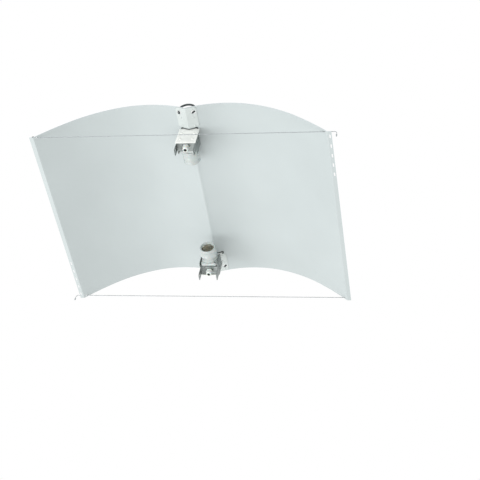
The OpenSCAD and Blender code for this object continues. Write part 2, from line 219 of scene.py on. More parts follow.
def noise(tree, coords, size, detail=3.0, stretch=None):
    """Noise whose grains are about that many metres across; stretch scales the pattern per axis."""
    if stretch:
        mapped = add(tree, "ShaderNodeMapping", links={"Vector": coords}, Scale=stretch)
        coords = mapped.outputs["Vector"]
    return add(tree, "ShaderNodeTexNoise", links={"Vector": coords},
               Scale=1 / size, Detail=detail, Roughness=0.55).outputs["Fac"]


def between(tree, factor, low, high, start=0.35, end=0.65):
    """Maps a pattern's usual range onto two values."""
    node = add(tree, "ShaderNodeMapRange", links={"Value": factor})
    for key, value in zip(("From Min", "From Max", "To Min", "To Max"), (start, end, low, high)):
        node.inputs[key].default_value = value
    return node.outputs["Result"]


def blend_colours(tree, factor, first, second, start=0.35, end=0.65):
    """Mixes two colours by a pattern."""
    ramp = add(tree, "ShaderNodeValToRGB", links={"Fac": factor})
    for stop, place, colour_value in zip(ramp.color_ramp.elements, (start, end), (first, second)):
        stop.position = place
        stop.color = colour_value
    return ramp.outputs["Color"]


def relief(tree, shader, height, depth):
    """Bump of that depth in metres."""
    bump = add(tree, "ShaderNodeBump", links={"Height": height}, Distance=depth, Strength=1.0)
    tree.links.new(bump.outputs["Normal"], shader.inputs["Normal"])


def surface(tree, shader, colours, roughness, **values):
    """Gives the shader its colour and roughness, as patterns or constants, and other constants."""
    for key, source in (("Base Color", colours), ("Roughness", roughness)):
        if isinstance(source, bpy.types.NodeSocket):
            tree.links.new(source, shader.inputs[key])
        else:
            shader.inputs[key].default_value = source
    for key, value in values.items():
        shader.inputs[key.replace("_", " ")].default_value = value


def powder_coat(name, hex_value, roughness, orange_peel=0.0022):
    """Polyester powder coat: soft sheen, fine orange peel from the flow of the melted powder."""
    material, tree, coords, shader = begin(name)
    drift = noise(tree, coords, 0.24, 2.0)
    peel = noise(tree, coords, orange_peel, 2.0)
    surface(
        tree, shader, blend_colours(tree, drift, shade(hex_value, 0.965), shade(hex_value, 1.0)),
        between(tree, peel, roughness - 0.04, roughness + 0.05),
        IOR=1.5, Coat_Weight=0.12, Coat_Roughness=0.3,
    )
    relief(tree, shader, peel, 0.00004)
    return material


def coil_coated_back(name, hex_value):
    """Coil-coated aluminium back: satin, with faint rolling lines along the crease."""
    material, tree, coords, shader = begin(name)
    # the real rolling lines are about 0.1 mm apart; drawn coarser, to show at all
    rolled = noise(tree, coords, 0.0016, 4.0, stretch=(1.0, 0.02, 1.0))
    drift = noise(tree, coords, 0.18, 2.0)
    surface(
        tree, shader, blend_colours(tree, drift, shade(hex_value, 0.985), shade(hex_value, 1.0)),
        between(tree, rolled, 0.34, 0.48), Metallic=0.25,
    )
    relief(tree, shader, rolled, 0.00002)
    return material


def zinc_plated_sheet(name, hex_value, spangle=0.006):
    """Hot-dip galvanised sheet: grey metal with crystal spangles some millimetres across."""
    material, tree, coords, shader = begin(name)
    crystals = add(tree, "ShaderNodeTexVoronoi", links={"Vector": coords}, Scale=1 / spangle)
    grey = add(tree, "ShaderNodeRGBToBW", links={"Color": crystals.outputs["Color"]}).outputs["Val"]
    surface(
        tree, shader,
        blend_colours(tree, grey, shade(hex_value, 0.80), shade(hex_value, 1.12), 0.2, 0.8),
        between(tree, grey, 0.30, 0.50, 0.2, 0.8), Metallic=0.9,
    )
    relief(tree, shader, noise(tree, coords, 0.0012), 0.00003)
    return material


def bright_zinc(name, hex_value):
    """Bright zinc plate on turned steel: smooth, slightly cloudy metal."""
    material, tree, coords, shader = begin(name)
    cloud = noise(tree, coords, 0.004)
    surface(
        tree, shader, blend_colours(tree, cloud, shade(hex_value, 0.82), shade(hex_value, 1.1)),
        between(tree, cloud, 0.22, 0.36), Metallic=1.0,
    )
    relief(tree, shader, noise(tree, coords, 0.0006), 0.00001)
    return material


def glazed_porcelain(name, hex_value):
    """Glazed electrical porcelain: milky body under a clear glaze, with faint waves and specks."""
    material, tree, coords, shader = begin(name)
    milk = noise(tree, coords, 0.014, 2.0)
    specks = noise(tree, coords, 0.0009, 1.0)
    body = blend_colours(tree, milk, shade(hex_value, 0.95), shade(hex_value, 1.0))
    mask = between(tree, specks, 0.0, 0.35, 0.74, 0.78)
    mix = add(tree, "ShaderNodeMix", links={"Factor": mask}, settings={"data_type": "RGBA"})
    body_input, speck_input, mixed = mix.inputs[6], mix.inputs[7], mix.outputs[2]
    tree.links.new(body, body_input)
    speck_input.default_value = linear("#9A9178")
    surface(tree, shader, mixed, 0.22, IOR=1.55, Coat_Weight=0.6, Coat_Roughness=0.06,
            Subsurface_Weight=0.08, Subsurface_Scale=0.002)
    relief(tree, shader, noise(tree, coords, 0.009, 1.0), 0.00006)
    return material


def drawn_brass(name, hex_value, tarnish):
    """Drawn brass: warm metal, dulled in patches where it was handled or heated."""
    material, tree, coords, shader = begin(name)
    patches = noise(tree, coords, 0.005, 4.0)
    surface(
        tree, shader, blend_colours(tree, patches, shade(hex_value, 1 - tarnish), shade(hex_value, 1.08)),
        between(tree, patches, 0.46, 0.26), Metallic=1.0,
    )
    relief(tree, shader, noise(tree, coords, 0.0008), 0.00001)
    return material


def moulded_polyamide(name, hex_value):
    """Injection-moulded polyamide: slightly waxy white with a fine spark-eroded grain."""
    material, tree, coords, shader = begin(name)
    # the real grain is about 0.05 mm; drawn coarser, to show at all
    grain = noise(tree, coords, 0.0007, 2.0)
    cloud = noise(tree, coords, 0.006, 2.0)
    surface(
        tree, shader, blend_colours(tree, cloud, shade(hex_value, 0.95), shade(hex_value, 1.0)),
        between(tree, grain, 0.38, 0.5), IOR=1.53, Subsurface_Weight=0.15, Subsurface_Scale=0.002,
    )
    relief(tree, shader, grain, 0.00002)
    return material


def black_oxide(name, hex_value):
    """Black-oxide spring steel: oily dark grey, rubbed lighter in small patches."""
    material, tree, coords, shader = begin(name)
    rub = noise(tree, coords, 0.003, 4.0)
    surface(
        tree, shader,
        blend_colours(tree, rub, shade(hex_value, 0.75), shade(hex_value, 1.5), 0.4, 0.72),
        between(tree, rub, 0.48, 0.32), Metallic=0.55,
    )
    relief(tree, shader, noise(tree, coords, 0.0007), 0.00002)
    return material


def stainless_strand(name, hex_value):
    """Stainless wire rope: bright drawn strands, a little dull between them."""
    material, tree, coords, shader = begin(name)
    drawn = noise(tree, coords, 0.0006, 2.0)
    surface(
        tree, shader, blend_colours(tree, drawn, shade(hex_value, 0.86), shade(hex_value, 1.1)),
        between(tree, drawn, 0.24, 0.38), Metallic=1.0,
    )
    return material


def moulded_rubber(name, hex_value):
    """Extruded rubber edging: matt black with a dusty bloom."""
    material, tree, coords, shader = begin(name)
    bloom = noise(tree, coords, 0.004, 3.0)
    surface(
        tree, shader, blend_colours(tree, bloom, shade(hex_value, 0.8), shade(hex_value, 1.35)),
        0.72, Sheen_Weight=0.2,
    )
    relief(tree, shader, noise(tree, coords, 0.0005), 0.00003)
    return material


def milled_aluminium(name, hex_value):
    """Sawn and milled aluminium bar: fine parallel tool lines across the block."""
    material, tree, coords, shader = begin(name)
    # real tool lines are about 0.2 mm apart; drawn coarser, to show at all
    lines = noise(tree, coords, 0.0009, 3.0, stretch=(1.0, 1.0, 0.05))
    surface(
        tree, shader, blend_colours(tree, lines, shade(hex_value, 0.88), shade(hex_value, 1.06)),
        between(tree, lines, 0.3, 0.44), Metallic=1.0,
    )
    relief(tree, shader, lines, 0.00002)
    return material


def make_materials():
    """Every finish, by the name its pieces use."""
    c = bpy.context.scene.grow_lamp_colours
    return {
        "sheet_inside": powder_coat("satin_white_powder_coat", c.sheet_inside, 0.46),
        "sheet_outside": coil_coated_back("coil_coated_aluminium_back", c.sheet_outside),
        "saddle": powder_coat("saddle_powder_coat", c.saddle, 0.4, 0.0018),
        "white_plate": powder_coat("gloss_white_powder_coat", c.white_plate, 0.34, 0.0016),
        "zinc": zinc_plated_sheet("galvanised_sheet_steel", c.zinc),
        "fastener": bright_zinc("bright_zinc_plate", c.fastener),
        "porcelain": glazed_porcelain("glazed_porcelain", c.porcelain),
        "shell": drawn_brass("nickel_washed_brass", c.shell, 0.08),
        "brass": drawn_brass("plain_brass", c.brass, 0.2),
        "polyamide": moulded_polyamide("white_polyamide", c.polyamide),
        "black_steel": black_oxide("black_oxide_steel", c.black_steel),
        "wire": stainless_strand("stainless_wire_rope", c.wire),
        "rubber": moulded_rubber("black_edge_rubber", c.rubber),
        "aluminium": milled_aluminium("milled_aluminium", c.aluminium),
    }


MATERIALS = {}


# ---- mesh helpers ----

def mesh_object(name, vertices, faces, smooth_angle=35):
    """A mesh object at the origin with outward faces, rounded faces smooth and corners sharp."""
    mesh = bpy.data.meshes.new(name)
    mesh.from_pydata([tuple(v) for v in vertices], [], faces)
    work = bmesh.new()
    work.from_mesh(mesh)
    bmesh.ops.remove_doubles(work, verts=work.verts, dist=1e-7)
    bmesh.ops.recalc_face_normals(work, faces=work.faces)
    work.to_mesh(mesh)
    work.free()
    shape = bpy.data.objects.new(name, mesh)
    bpy.context.scene.collection.objects.link(shape)
    soften(shape, smooth_angle)
    return shape


def soften(shape, angle=35):
    """Smooth shading with sharp corners past that angle, in degrees."""
    shape.data.shade_smooth()
    shape.data.set_sharp_from_angle(angle=math.radians(angle))


def grid_faces(rows, columns, wrap_rows=False, wrap_columns=False, first=0):
    """Quads of a grid whose points are stored row by row."""
    faces = []
    for i in range(rows if wrap_rows else rows - 1):
        for j in range(columns if wrap_columns else columns - 1):
            a, b = (i % rows) * columns, ((i + 1) % rows) * columns
            k, m = j % columns, (j + 1) % columns
            faces.append((first + a + k, first + a + m, first + b + m, first + b + k))
    return faces


def ring(sides, z, radius):
    """Points round Z at one height; the radius may be a function of the step and its angle."""
    points = []
    for k in range(sides):
        a = 2 * math.pi * k / sides
        r = radius(k, a) if callable(radius) else radius
        points.append((r * math.cos(a), r * math.sin(a), z))
    return points


def lathe(profile, sides=64):
    """Points and faces of a turned solid about Z; the profile runs from axis to axis or is a loop."""
    loop = profile[0][0] > 1e-9 or profile[-1][0] > 1e-9
    points = [p for r, z in profile for p in ring(sides, z, r)]
    return points, grid_faces(len(profile), sides, wrap_rows=loop, wrap_columns=True)


def walled(first_face, second_face, rows, columns, wrap_columns=False):
    """A closed solid between two grids of points: both faces and the edges that join them."""
    first = len(first_face)
    faces = grid_faces(rows, columns, wrap_columns=wrap_columns)
    faces += grid_faces(rows, columns, wrap_columns=wrap_columns, first=first)
    for row in (0, rows - 1):
        a = row * columns
        for j in range(columns if wrap_columns else columns - 1):
            k, m = a + j, a + (j + 1) % columns
            faces.append((k, m, first + m, first + k))
    for column in () if wrap_columns else (0, columns - 1):
        for i in range(rows - 1):
            k, m = i * columns + column, (i + 1) * columns + column
            faces.append((k, m, first + m, first + k))
    return first_face + second_face, faces


def arc(centre, radius, start, end, steps):
    """Points of an arc in a plane, angles in degrees."""
    angles = [math.radians(start + (end - start) * i / steps) for i in range(steps + 1)]
    return [(centre[0] + radius * math.cos(a), centre[1] + radius * math.sin(a)) for a in angles]


def disc(centre, radius, sides=48):
    """Outline of a round hole or plate."""
    return arc(centre, radius, 0, 360 - 360 / sides, sides - 1)


def tube(path, radius, sides=12):
    """A round tube along a path, with flat ends."""
    count = len(path)
    points = [Vector(p) for p in path]
    rings, up = [], None
    for i, p in enumerate(points):
        before = points[i - 1] if i else p
        after = points[i + 1] if i + 1 < count else p
        along = (after - before).normalized()
        if up is None:
            up = Vector((0, 0, 1)) if abs(along.z) < 0.9 else Vector((1, 0, 0))
        up = (up - along * up.dot(along)).normalized()
        side = along.cross(up)
        for k in range(sides):
            a = 2 * math.pi * k / sides
            rings.append(p + (side * math.cos(a) + up * math.sin(a)) * radius)
    faces = grid_faces(count, sides, wrap_columns=True)
    faces += [tuple(range(sides)), tuple(range((count - 1) * sides, count * sides))]
    return rings, faces


def prism(outline, low, high):
    """A straight solid over a flat outline, between two heights."""
    n = len(outline)
    points = [(x, y, low) for x, y in outline] + [(x, y, high) for x, y in outline]
    faces = [tuple(range(n)), tuple(range(n, 2 * n))]
    faces += [(k, (k + 1) % n, n + (k + 1) % n, n + k) for k in range(n)]
    return points, faces


def moved(shape, matrix):
    """The same points and faces, placed by a matrix."""
    points, faces = shape
    return [matrix @ Vector(p) for p in points], faces


def together(*shapes):
    """Several shapes as one list of points and faces."""
    points, faces = [], []
    for shape_points, shape_faces in shapes:
        first = len(points)
        points += list(shape_points)
        faces += [tuple(first + i for i in f) for f in shape_faces]
    return points, faces


def evaluated_mesh(shape):
    """A new mesh of the shape with its modifiers applied."""
    graph = bpy.context.evaluated_depsgraph_get()
    return bpy.data.meshes.new_from_object(shape.evaluated_get(graph))


def finished(shape, smooth_angle=35):
    """Applies every modifier and leaves a plain mesh at the origin."""
    mesh = evaluated_mesh(shape)
    shape.modifiers.clear()
    shape.data = mesh
    soften(shape, smooth_angle)
    return shape


def cut(shape, cutters, smooth_angle=35):
    """Cuts holes given as points and faces."""
    tool = mesh_object("cutter", *together(*cutters))
    modifier = shape.modifiers.new("holes", "BOOLEAN")
    modifier.operation = "DIFFERENCE"
    modifier.solver = "EXACT"
    modifier.use_self = False
    modifier.object = tool
    finished(shape, smooth_angle)
    bpy.data.objects.remove(tool)
    return shape


def bevelled(shape, width, segments=2, angle=40, smooth_angle=35):
    """Breaks the sharp edges as on a real part."""
    modifier = shape.modifiers.new("edges", "BEVEL")
    modifier.width = width
    modifier.segments = segments
    modifier.limit_method = "ANGLE"
    modifier.angle_limit = math.radians(angle)
    modifier.harden_normals = False
    return finished(shape, smooth_angle)


def from_node(node, name):
    """A merged copy of a CAD node's mesh, its flat faces whole again."""
    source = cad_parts[node]
    shape = bpy.data.objects.new(name, source.data.copy())
    shape.data.materials.clear()
    bpy.context.scene.collection.objects.link(shape)
    work = bmesh.new()
    work.from_mesh(shape.data)
    bmesh.ops.remove_doubles(work, verts=work.verts, dist=2e-6)
    bmesh.ops.dissolve_limit(
        work, angle_limit=math.radians(0.5), verts=work.verts, edges=work.edges
    )
    work.to_mesh(shape.data)
    work.free()
    soften(shape)
    return shape


def broken_edges(node, width, **limits):
    """The CAD node's own shape, with its sharp edges broken."""
    return bevelled(from_node(node, f"{node}.finished"), width, **limits)


def finish_piece(shape, finish, slot, body, *nodes):
    """Gives a piece its finish and its body, and hides the CAD nodes that it stands for."""
    if finish:
        shape.data.materials.clear()
        shape.data.materials.append(MATERIALS[finish])
    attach(shape, body)
    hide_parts(*nodes)
    return shape


# ---- places, read from the frame ----

def end_turn(end):
    """The near end as it is drawn; the far end half round about Z."""
    return Matrix.Rotation(0 if end == "near" else math.pi, 4, "Z")


def carriage(end):
    """Local x, u, z of a lampholder carriage: u runs from its plate towards the lamp."""
    low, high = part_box(f"hanger_plate_{end}")
    shell_low, shell_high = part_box(f"screw_shell_{end}")
    y = high.y if end == "near" else low.y
    z = (shell_low.z + shell_high.z) / 2
    return Matrix.Translation((0, y, z)) @ end_turn(end)


def extent(node, end):
    """A node's box in its carriage's own x, u, z."""
    inverse = carriage(end).inverted()
    a, b = (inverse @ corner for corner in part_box(f"{node}_{end}"))
    return Vector(map(min, a, b)), Vector(map(max, a, b))


# Turns a shape made about Z so that its Z points along u
ALONG_U = Matrix.Rotation(-math.pi / 2, 4, "X")
AGAINST_U = Matrix.Rotation(math.pi / 2, 4, "X")


# ---- geometry node trees ----

def new_tree(name, inputs):
    """An empty geometry tree with its input and output nodes and the sockets asked for."""
    tree = bpy.data.node_groups.new(name, "GeometryNodeTree")
    tree.interface.new_socket(name="Geometry", in_out="INPUT", socket_type="NodeSocketGeometry")
    for socket, kind in inputs.items():
        tree.interface.new_socket(name=socket, in_out="INPUT", socket_type=f"NodeSocket{kind}")
    tree.interface.new_socket(name="Geometry", in_out="OUTPUT", socket_type="NodeSocketGeometry")
    return tree, add(tree, "NodeGroupInput"), add(tree, "NodeGroupOutput")


def maths(tree, operation, first, second):
    """A sum or a product of two values; the second may be a plain number."""
    node = add(tree, "ShaderNodeMath", settings={"operation": operation})
    tree.links.new(first, node.inputs[0])
    if isinstance(second, bpy.types.NodeSocket):
        tree.links.new(second, node.inputs[1])
    else:
        node.inputs[1].default_value = second
    return node.outputs[0]


def run_tree(shape, tree, smooth_angle=35, **values):
    """Runs a tree on an object, with its inputs given by name, and keeps the plain mesh."""
    modifier = shape.modifiers.new(tree.name, "NODES")
    modifier.node_group = tree
    for item in tree.interface.items_tree:
        key = item.name.replace(" ", "_").lower()
        if item.in_out == "INPUT" and key in values:
            modifier[item.identifier] = values[key]
    mesh = evaluated_mesh(shape)
    name = shape.name
    bpy.data.objects.remove(shape)
    made = bpy.data.objects.new(name, mesh)
    bpy.context.scene.collection.objects.link(made)
    soften(made, smooth_angle)
    return made


def repeat_tree():
    """Sets one object at every point: screws, nuts and rivets."""
    tree, entry, leave = new_tree("repeat_fastener", {"Fastener": "Object", "Finish": "Material"})
    part = add(tree, "GeometryNodeObjectInfo", links={"Object": entry.outputs["Fastener"]})
    placed = add(tree, "GeometryNodeInstanceOnPoints", links={
        "Points": entry.outputs["Geometry"], "Instance": part.outputs["Geometry"]})
    real = add(tree, "GeometryNodeRealizeInstances", links={"Geometry": placed.outputs["Instances"]})
    painted = add(tree, "GeometryNodeSetMaterial", links={
        "Geometry": real.outputs["Geometry"], "Material": entry.outputs["Finish"]})
    tree.links.new(painted.outputs["Geometry"], leave.inputs["Geometry"])
    return tree


def punched_tree():
    """Punches a row of slots along Y and coats the two faces of the sheet."""
    tree, entry, leave = new_tree("punched_sheet", {
        "Punch": "Object", "Count": "Int", "Pitch": "Float", "Inside": "Material",
        "Outside": "Material"})
    step = add(tree, "ShaderNodeCombineXYZ", links={"Y": entry.outputs["Pitch"]})
    line = add(tree, "GeometryNodeMeshLine", links={
        "Count": entry.outputs["Count"], "Offset": step.outputs["Vector"]})
    punch = add(tree, "GeometryNodeObjectInfo", links={"Object": entry.outputs["Punch"]})
    row = add(tree, "GeometryNodeInstanceOnPoints", links={
        "Points": line.outputs["Mesh"], "Instance": punch.outputs["Geometry"]})
    solid = add(tree, "GeometryNodeRealizeInstances", links={"Geometry": row.outputs["Instances"]})
    holed = add(tree, "GeometryNodeMeshBoolean", settings={"operation": "DIFFERENCE"})
    tree.links.new(entry.outputs["Geometry"], holed.inputs["Mesh 1"])
    tree.links.new(solid.outputs["Geometry"], holed.inputs["Mesh 2"])
    real = add(tree, "GeometryNodeRealizeInstances", links={"Geometry": holed.outputs["Mesh"]})
    normal = add(tree, "GeometryNodeInputNormal")
    split = add(tree, "ShaderNodeSeparateXYZ", links={"Vector": normal.outputs["Normal"]})
    downward = add(tree, "FunctionNodeCompare", links={"A": split.outputs["Z"]},
                   settings={"data_type": "FLOAT", "operation": "LESS_THAN"}, B=-0.3)
    back = add(tree, "GeometryNodeSetMaterial", links={
        "Geometry": real.outputs["Geometry"], "Material": entry.outputs["Outside"]})
    face = add(tree, "GeometryNodeSetMaterial", links={
        "Geometry": back.outputs["Geometry"], "Selection": downward.outputs["Result"],
        "Material": entry.outputs["Inside"]})
    tree.links.new(face.outputs["Geometry"], leave.inputs["Geometry"])
    return tree


def rope_tree():
    """Lays round strands in a helix about a curve, with a straight core."""
    tree, entry, leave = new_tree("wire_rope", {
        "Strands": "Int", "Strand Radius": "Float", "Lay": "Float", "Step": "Float",
        "Finish": "Material"})
    as_curve = add(tree, "GeometryNodeMeshToCurve", links={"Mesh": entry.outputs["Geometry"]})
    even = add(tree, "GeometryNodeResampleCurve", links={
        "Curve": as_curve.outputs["Curve"], "Length": entry.outputs["Step"]},
        settings={"mode": "LENGTH"})
    copies = add(tree, "GeometryNodeDuplicateElements", settings={"domain": "SPLINE"}, links={
        "Geometry": even.outputs["Curve"], "Amount": entry.outputs["Strands"]})
    place = add(tree, "GeometryNodeSplineParameter")
    tangent = add(tree, "GeometryNodeInputTangent")
    normal = add(tree, "GeometryNodeInputNormal")
    turns = maths(tree, "DIVIDE", place.outputs["Length"], entry.outputs["Lay"])
    share = maths(tree, "DIVIDE", copies.outputs["Duplicate Index"], entry.outputs["Strands"])
    angle = maths(tree, "MULTIPLY", maths(tree, "ADD", turns, share), 2 * math.pi)
    spun = add(tree, "ShaderNodeVectorRotate", settings={"rotation_type": "AXIS_ANGLE"}, links={
        "Vector": normal.outputs["Normal"], "Axis": tangent.outputs["Tangent"],
        "Angle": angle})
    reach = maths(tree, "MULTIPLY", entry.outputs["Strand Radius"], 2.0)
    offset = add(tree, "ShaderNodeVectorMath", settings={"operation": "SCALE"}, links={
        "Vector": spun.outputs["Vector"], "Scale": reach})
    laid = add(tree, "GeometryNodeSetPosition", links={
        "Geometry": copies.outputs["Geometry"], "Offset": offset.outputs["Vector"]})
    every = add(tree, "GeometryNodeJoinGeometry")
    tree.links.new(laid.outputs["Geometry"], every.inputs["Geometry"])
    tree.links.new(even.outputs["Curve"], every.inputs["Geometry"])
    strand = add(tree, "GeometryNodeCurvePrimitiveCircle", Resolution=6,
                 links={"Radius": entry.outputs["Strand Radius"]})
    solid = add(tree, "GeometryNodeCurveToMesh", links={
        "Curve": every.outputs["Geometry"], "Profile Curve": strand.outputs["Curve"]})
    solid.inputs["Fill Caps"].default_value = True
    real = add(tree, "GeometryNodeRealizeInstances", links={"Geometry": solid.outputs["Mesh"]})
    painted = add(tree, "GeometryNodeSetMaterial", links={
        "Geometry": real.outputs["Geometry"], "Material": entry.outputs["Finish"]})
    tree.links.new(painted.outputs["Geometry"], leave.inputs["Geometry"])
    return tree


def repeated(name, part, places, matrix, finish):
    """One mesh with the part at each place; matrix turns the part, places are final."""
    tool = mesh_object("part", *moved(part, matrix.to_3x3().to_4x4()))
    spots = bpy.data.objects.new(name, bpy.data.meshes.new(name))
    spots.data.from_pydata([tuple(p) for p in places], [], [])
    bpy.context.scene.collection.objects.link(spots)
    tree = bpy.data.node_groups.get("repeat_fastener") or repeat_tree()
    made = run_tree(spots, tree, fastener=tool, finish=MATERIALS[finish])
    bpy.data.objects.remove(tool)
    return made


# ---- threads and nuts ----

def even_rows(low, high, spacing):
    """Evenly spaced numbers from low to high."""
    steps = max(1, round((high - low) / spacing))
    return [low + (high - low) * i / steps for i in range(steps + 1)]


ROWS_PER_PITCH = 8


def groove(z, pitch, share):
    """How deep a V thread is at a height and a share of a turn, from 0 to 1."""
    return abs(2 * ((z / pitch - share) % 1.0) - 1)


def threaded_rod(radius, low, high, pitch, sides=24):
    """A rod about Z with a true helical thread and coned ends."""
    depth = pitch * 0.32
    rows = even_rows(low, high, pitch / ROWS_PER_PITCH)
    points = []
    for z in rows:
        fade = min(1.0, min(z - low, high - z) / pitch)
        points += ring(sides, z, lambda k, a: (
            radius - depth * 0.9 * groove(z, pitch, k / sides) - (1 - fade) * depth))
    count = len(rows)
    faces = grid_faces(count, sides, wrap_columns=True)
    faces += [tuple(range(sides)), tuple(range((count - 1) * sides, count * sides))]
    return points, faces


def threaded_tube(radius, bore, low, high, pitch, sides=48):
    """A short threaded sleeve about Z."""
    depth = 0.0007
    rows = even_rows(low, high, pitch / ROWS_PER_PITCH)
    points = []
    for z in rows:
        points += ring(sides, z, lambda k, a: radius - depth * groove(z, pitch, k / sides))
    points += ring(sides, high, bore) + ring(sides, low, bore)
    return points, grid_faces(len(rows) + 2, sides, wrap_rows=True, wrap_columns=True)


def hex_nut(across, height, bore):
    """A nut about Z, chamfered at both faces."""
    corner, chamfered = across / math.sqrt(3), across / 2 * 0.985
    sides = 48
    levels = ((0, chamfered), (height * 0.16, corner), (height * 0.84, corner), (height, chamfered))
    points = []
    for z, limit in levels:
        points += ring(sides, z, lambda k, a: min(
            limit, (across / 2) / math.cos((a % (math.pi / 3)) - math.pi / 6)))
    points += ring(sides, height, bore) + ring(sides, 0, bore)
    return points, grid_faces(len(levels) + 2, sides, wrap_rows=True, wrap_columns=True)


# ---- the reflector ----

def wing_section(up_to=None, rise=0.0):
    """Points and headings along the right half's inner face, from the crease; rise lifts them."""
    s = sizes()
    heading = s.slope
    spot = Vector((0.0, 0.0))
    found = [(spot.copy(), heading, 0.0)]
    run = 0.0
    for radius, arc_length in (
        (s.inner_radius, s.inner_arc), (s.middle_radius, s.middle_arc), (s.outer_radius, s.outer_arc)
    ):
        steps = max(6, round(arc_length / 0.007))
        for _ in range(steps):
            middle = heading - arc_length / steps / radius / 2
            chord = 2 * radius * math.sin(arc_length / steps / radius / 2)
            spot += Vector((math.cos(middle), math.sin(middle))) * chord
            heading -= arc_length / steps / radius
            run += arc_length / steps
            if up_to and run > up_to:
                return lifted(found, rise)
            found.append((spot.copy(), heading, run))
    return lifted(found, rise)


def lifted(found, rise):
    """Section points moved along their normals."""
    return [(p + Vector((-math.sin(h), math.cos(h))) * rise, h, run) for p, h, run in found]


def reflector_half_section():
    """The whole right half's inner face: rounded crease, wing, rounded fold and flat lip."""
    s = sizes()
    wing = [(p, h) for p, h, _ in wing_section()[1:]]
    # the crease is rounded: the first points rise from level to the slope
    rounded = 0.004
    crease = []
    for i in range(5):
        x = rounded * i / 4
        if x < wing[0][0].x:
            crease.append((Vector((x, (x * x / (2 * rounded)) * s.slope)), s.slope * x / rounded))
    tip, heading = wing.pop()
    fold = []
    steps = 6
    spot = tip - Vector((math.cos(heading), math.sin(heading))) * s.fold * math.tan(-heading / 2)
    for i in range(steps + 1):
        turned = heading - heading * i / steps
        fold.append((spot.copy(), turned))
        middle = turned - heading / steps / 2
        spot += Vector((math.cos(middle), math.sin(middle))) * (-heading * s.fold / steps)
    lip_end = LIP_HIGH.x
    lip_start = fold[-1][0].x
    lip = [
        (Vector((lip_start + (lip_end - lip_start) * i / 4, fold[-1][0].y)), 0.0)
        for i in range(1, 5)
    ]
    return crease + wing + fold + lip


def sheet_solid(section, rows, thickness):
    """A bent sheet as a closed solid: the section's face and its back, along the given Y rows."""
    inner, outer = [], []
    for y in rows:
        inner += [(p.x, y, p.y) for p, _ in section]
        outer += [
            (p.x - math.sin(h) * thickness, y, p.y + math.cos(h) * thickness) for p, h in section
        ]
    return walled(inner, outer, len(rows), len(section))


def stadium(centre_x, centre_y, width, long, steps=10):
    """Outline of a slot with round ends, long along Y."""
    r = width / 2
    reach = long / 2 - r
    return (
        arc((centre_x, centre_y + reach), r, 0, 180, steps)
        + arc((centre_x, centre_y - reach), r, 180, 360, steps)
    )


def dog_bone(steps=28):
    """Outline of the plate's slot about its middle: a bar with round relief ends."""
    s = sizes()
    start = math.degrees(math.asin(s.slot_bar / s.relief))
    right = arc((s.relief_reach, 0), s.relief, start - 180, 180 - start, steps)
    left = arc((-s.relief_reach, 0), s.relief, start, 360 - start, steps)
    return right + left


def plate_line(end):
    """Y of the middle of a hanger plate."""
    low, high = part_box(f"hanger_plate_{end}")
    return (low.y + high.y) / 2


def hook_spots(side):
    """Centres of the round holes for the hooks in one half."""
    spots = []
    for end in ENDS:
        low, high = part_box(f"hanging_hook_{end}")
        spots.append((side * sizes().hook_reach, (low.y + high.y) / 2))
    return spots


class GROWLAMP_OT_reflector(bpy.types.Operator):
    """Make the two halves of the creased sheet, with their lips, slots and holes."""

    bl_idname = "growlamp.reflector"
    bl_label = "Reflector"

    def execute(self, context):
        s = sizes()
        tree = punched_tree()
        section = reflector_half_section()
        rows = even_rows(-SHEET_LENGTH / 2, SHEET_LENGTH / 2, 0.014)
        for name, side in SIDES.items():
            mirror = Matrix.Scale(side, 4, (1, 0, 0))
            sheet = mesh_object(
                f"reflector_{name}", *moved(sheet_solid(section, rows, s.thickness), mirror)
            )
            cutters = [
                prism(disc(spot, s.hook_hole), *THROUGH_SHEET) for spot in hook_spots(side)
            ]
            cutters += [
                moved(prism(dog_bone(), *THROUGH_SHEET),
                      Matrix.Translation((0, plate_line(end), 0)))
                for end in ENDS
            ]
            wire_z = WIRE_HIGH.z - WIRE_RADIUS
            hole_x = side * (LIP_LOW.x - s.wire_inset)
            for end in ENDS:
                low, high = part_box(f"tension_wire_{end}")
                cutters.append(moved(
                    prism(disc((0, 0), s.wire_hole, 24), -0.012, 0.012),
                    Matrix.Translation((hole_x, (low.y + high.y) / 2, wire_z))
                    @ Matrix.Rotation(math.pi / 2, 4, "Y"),
                ))
            cut(sheet, cutters)
            # the row of slots begins at the near end on the right and at the far end on the left
            first_slot, outward, spare = 0.019, 0.001, 0.005
            start_y = -side * (SHEET_LENGTH / 2 - first_slot)
            slot_x = side * ((LIP_LOW.x + LIP_HIGH.x) / 2 + outward)
            punch = mesh_object("punch", *prism(
                stadium(slot_x, start_y, s.slot_width, s.slot_length),
                LIP_LOW.z - spare, LIP_HIGH.z + spare))
            sheet = run_tree(
                sheet, tree, punch=punch, count=s.slot_count, pitch=side * s.slot_pitch,
                inside=MATERIALS["sheet_inside"], outside=MATERIALS["sheet_outside"],
            )
            bpy.data.objects.remove(punch)
            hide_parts("spine_strip", f"wing_{name}", f"edge_lip_{name}")
            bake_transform(sheet)
        return {"FINISHED"}


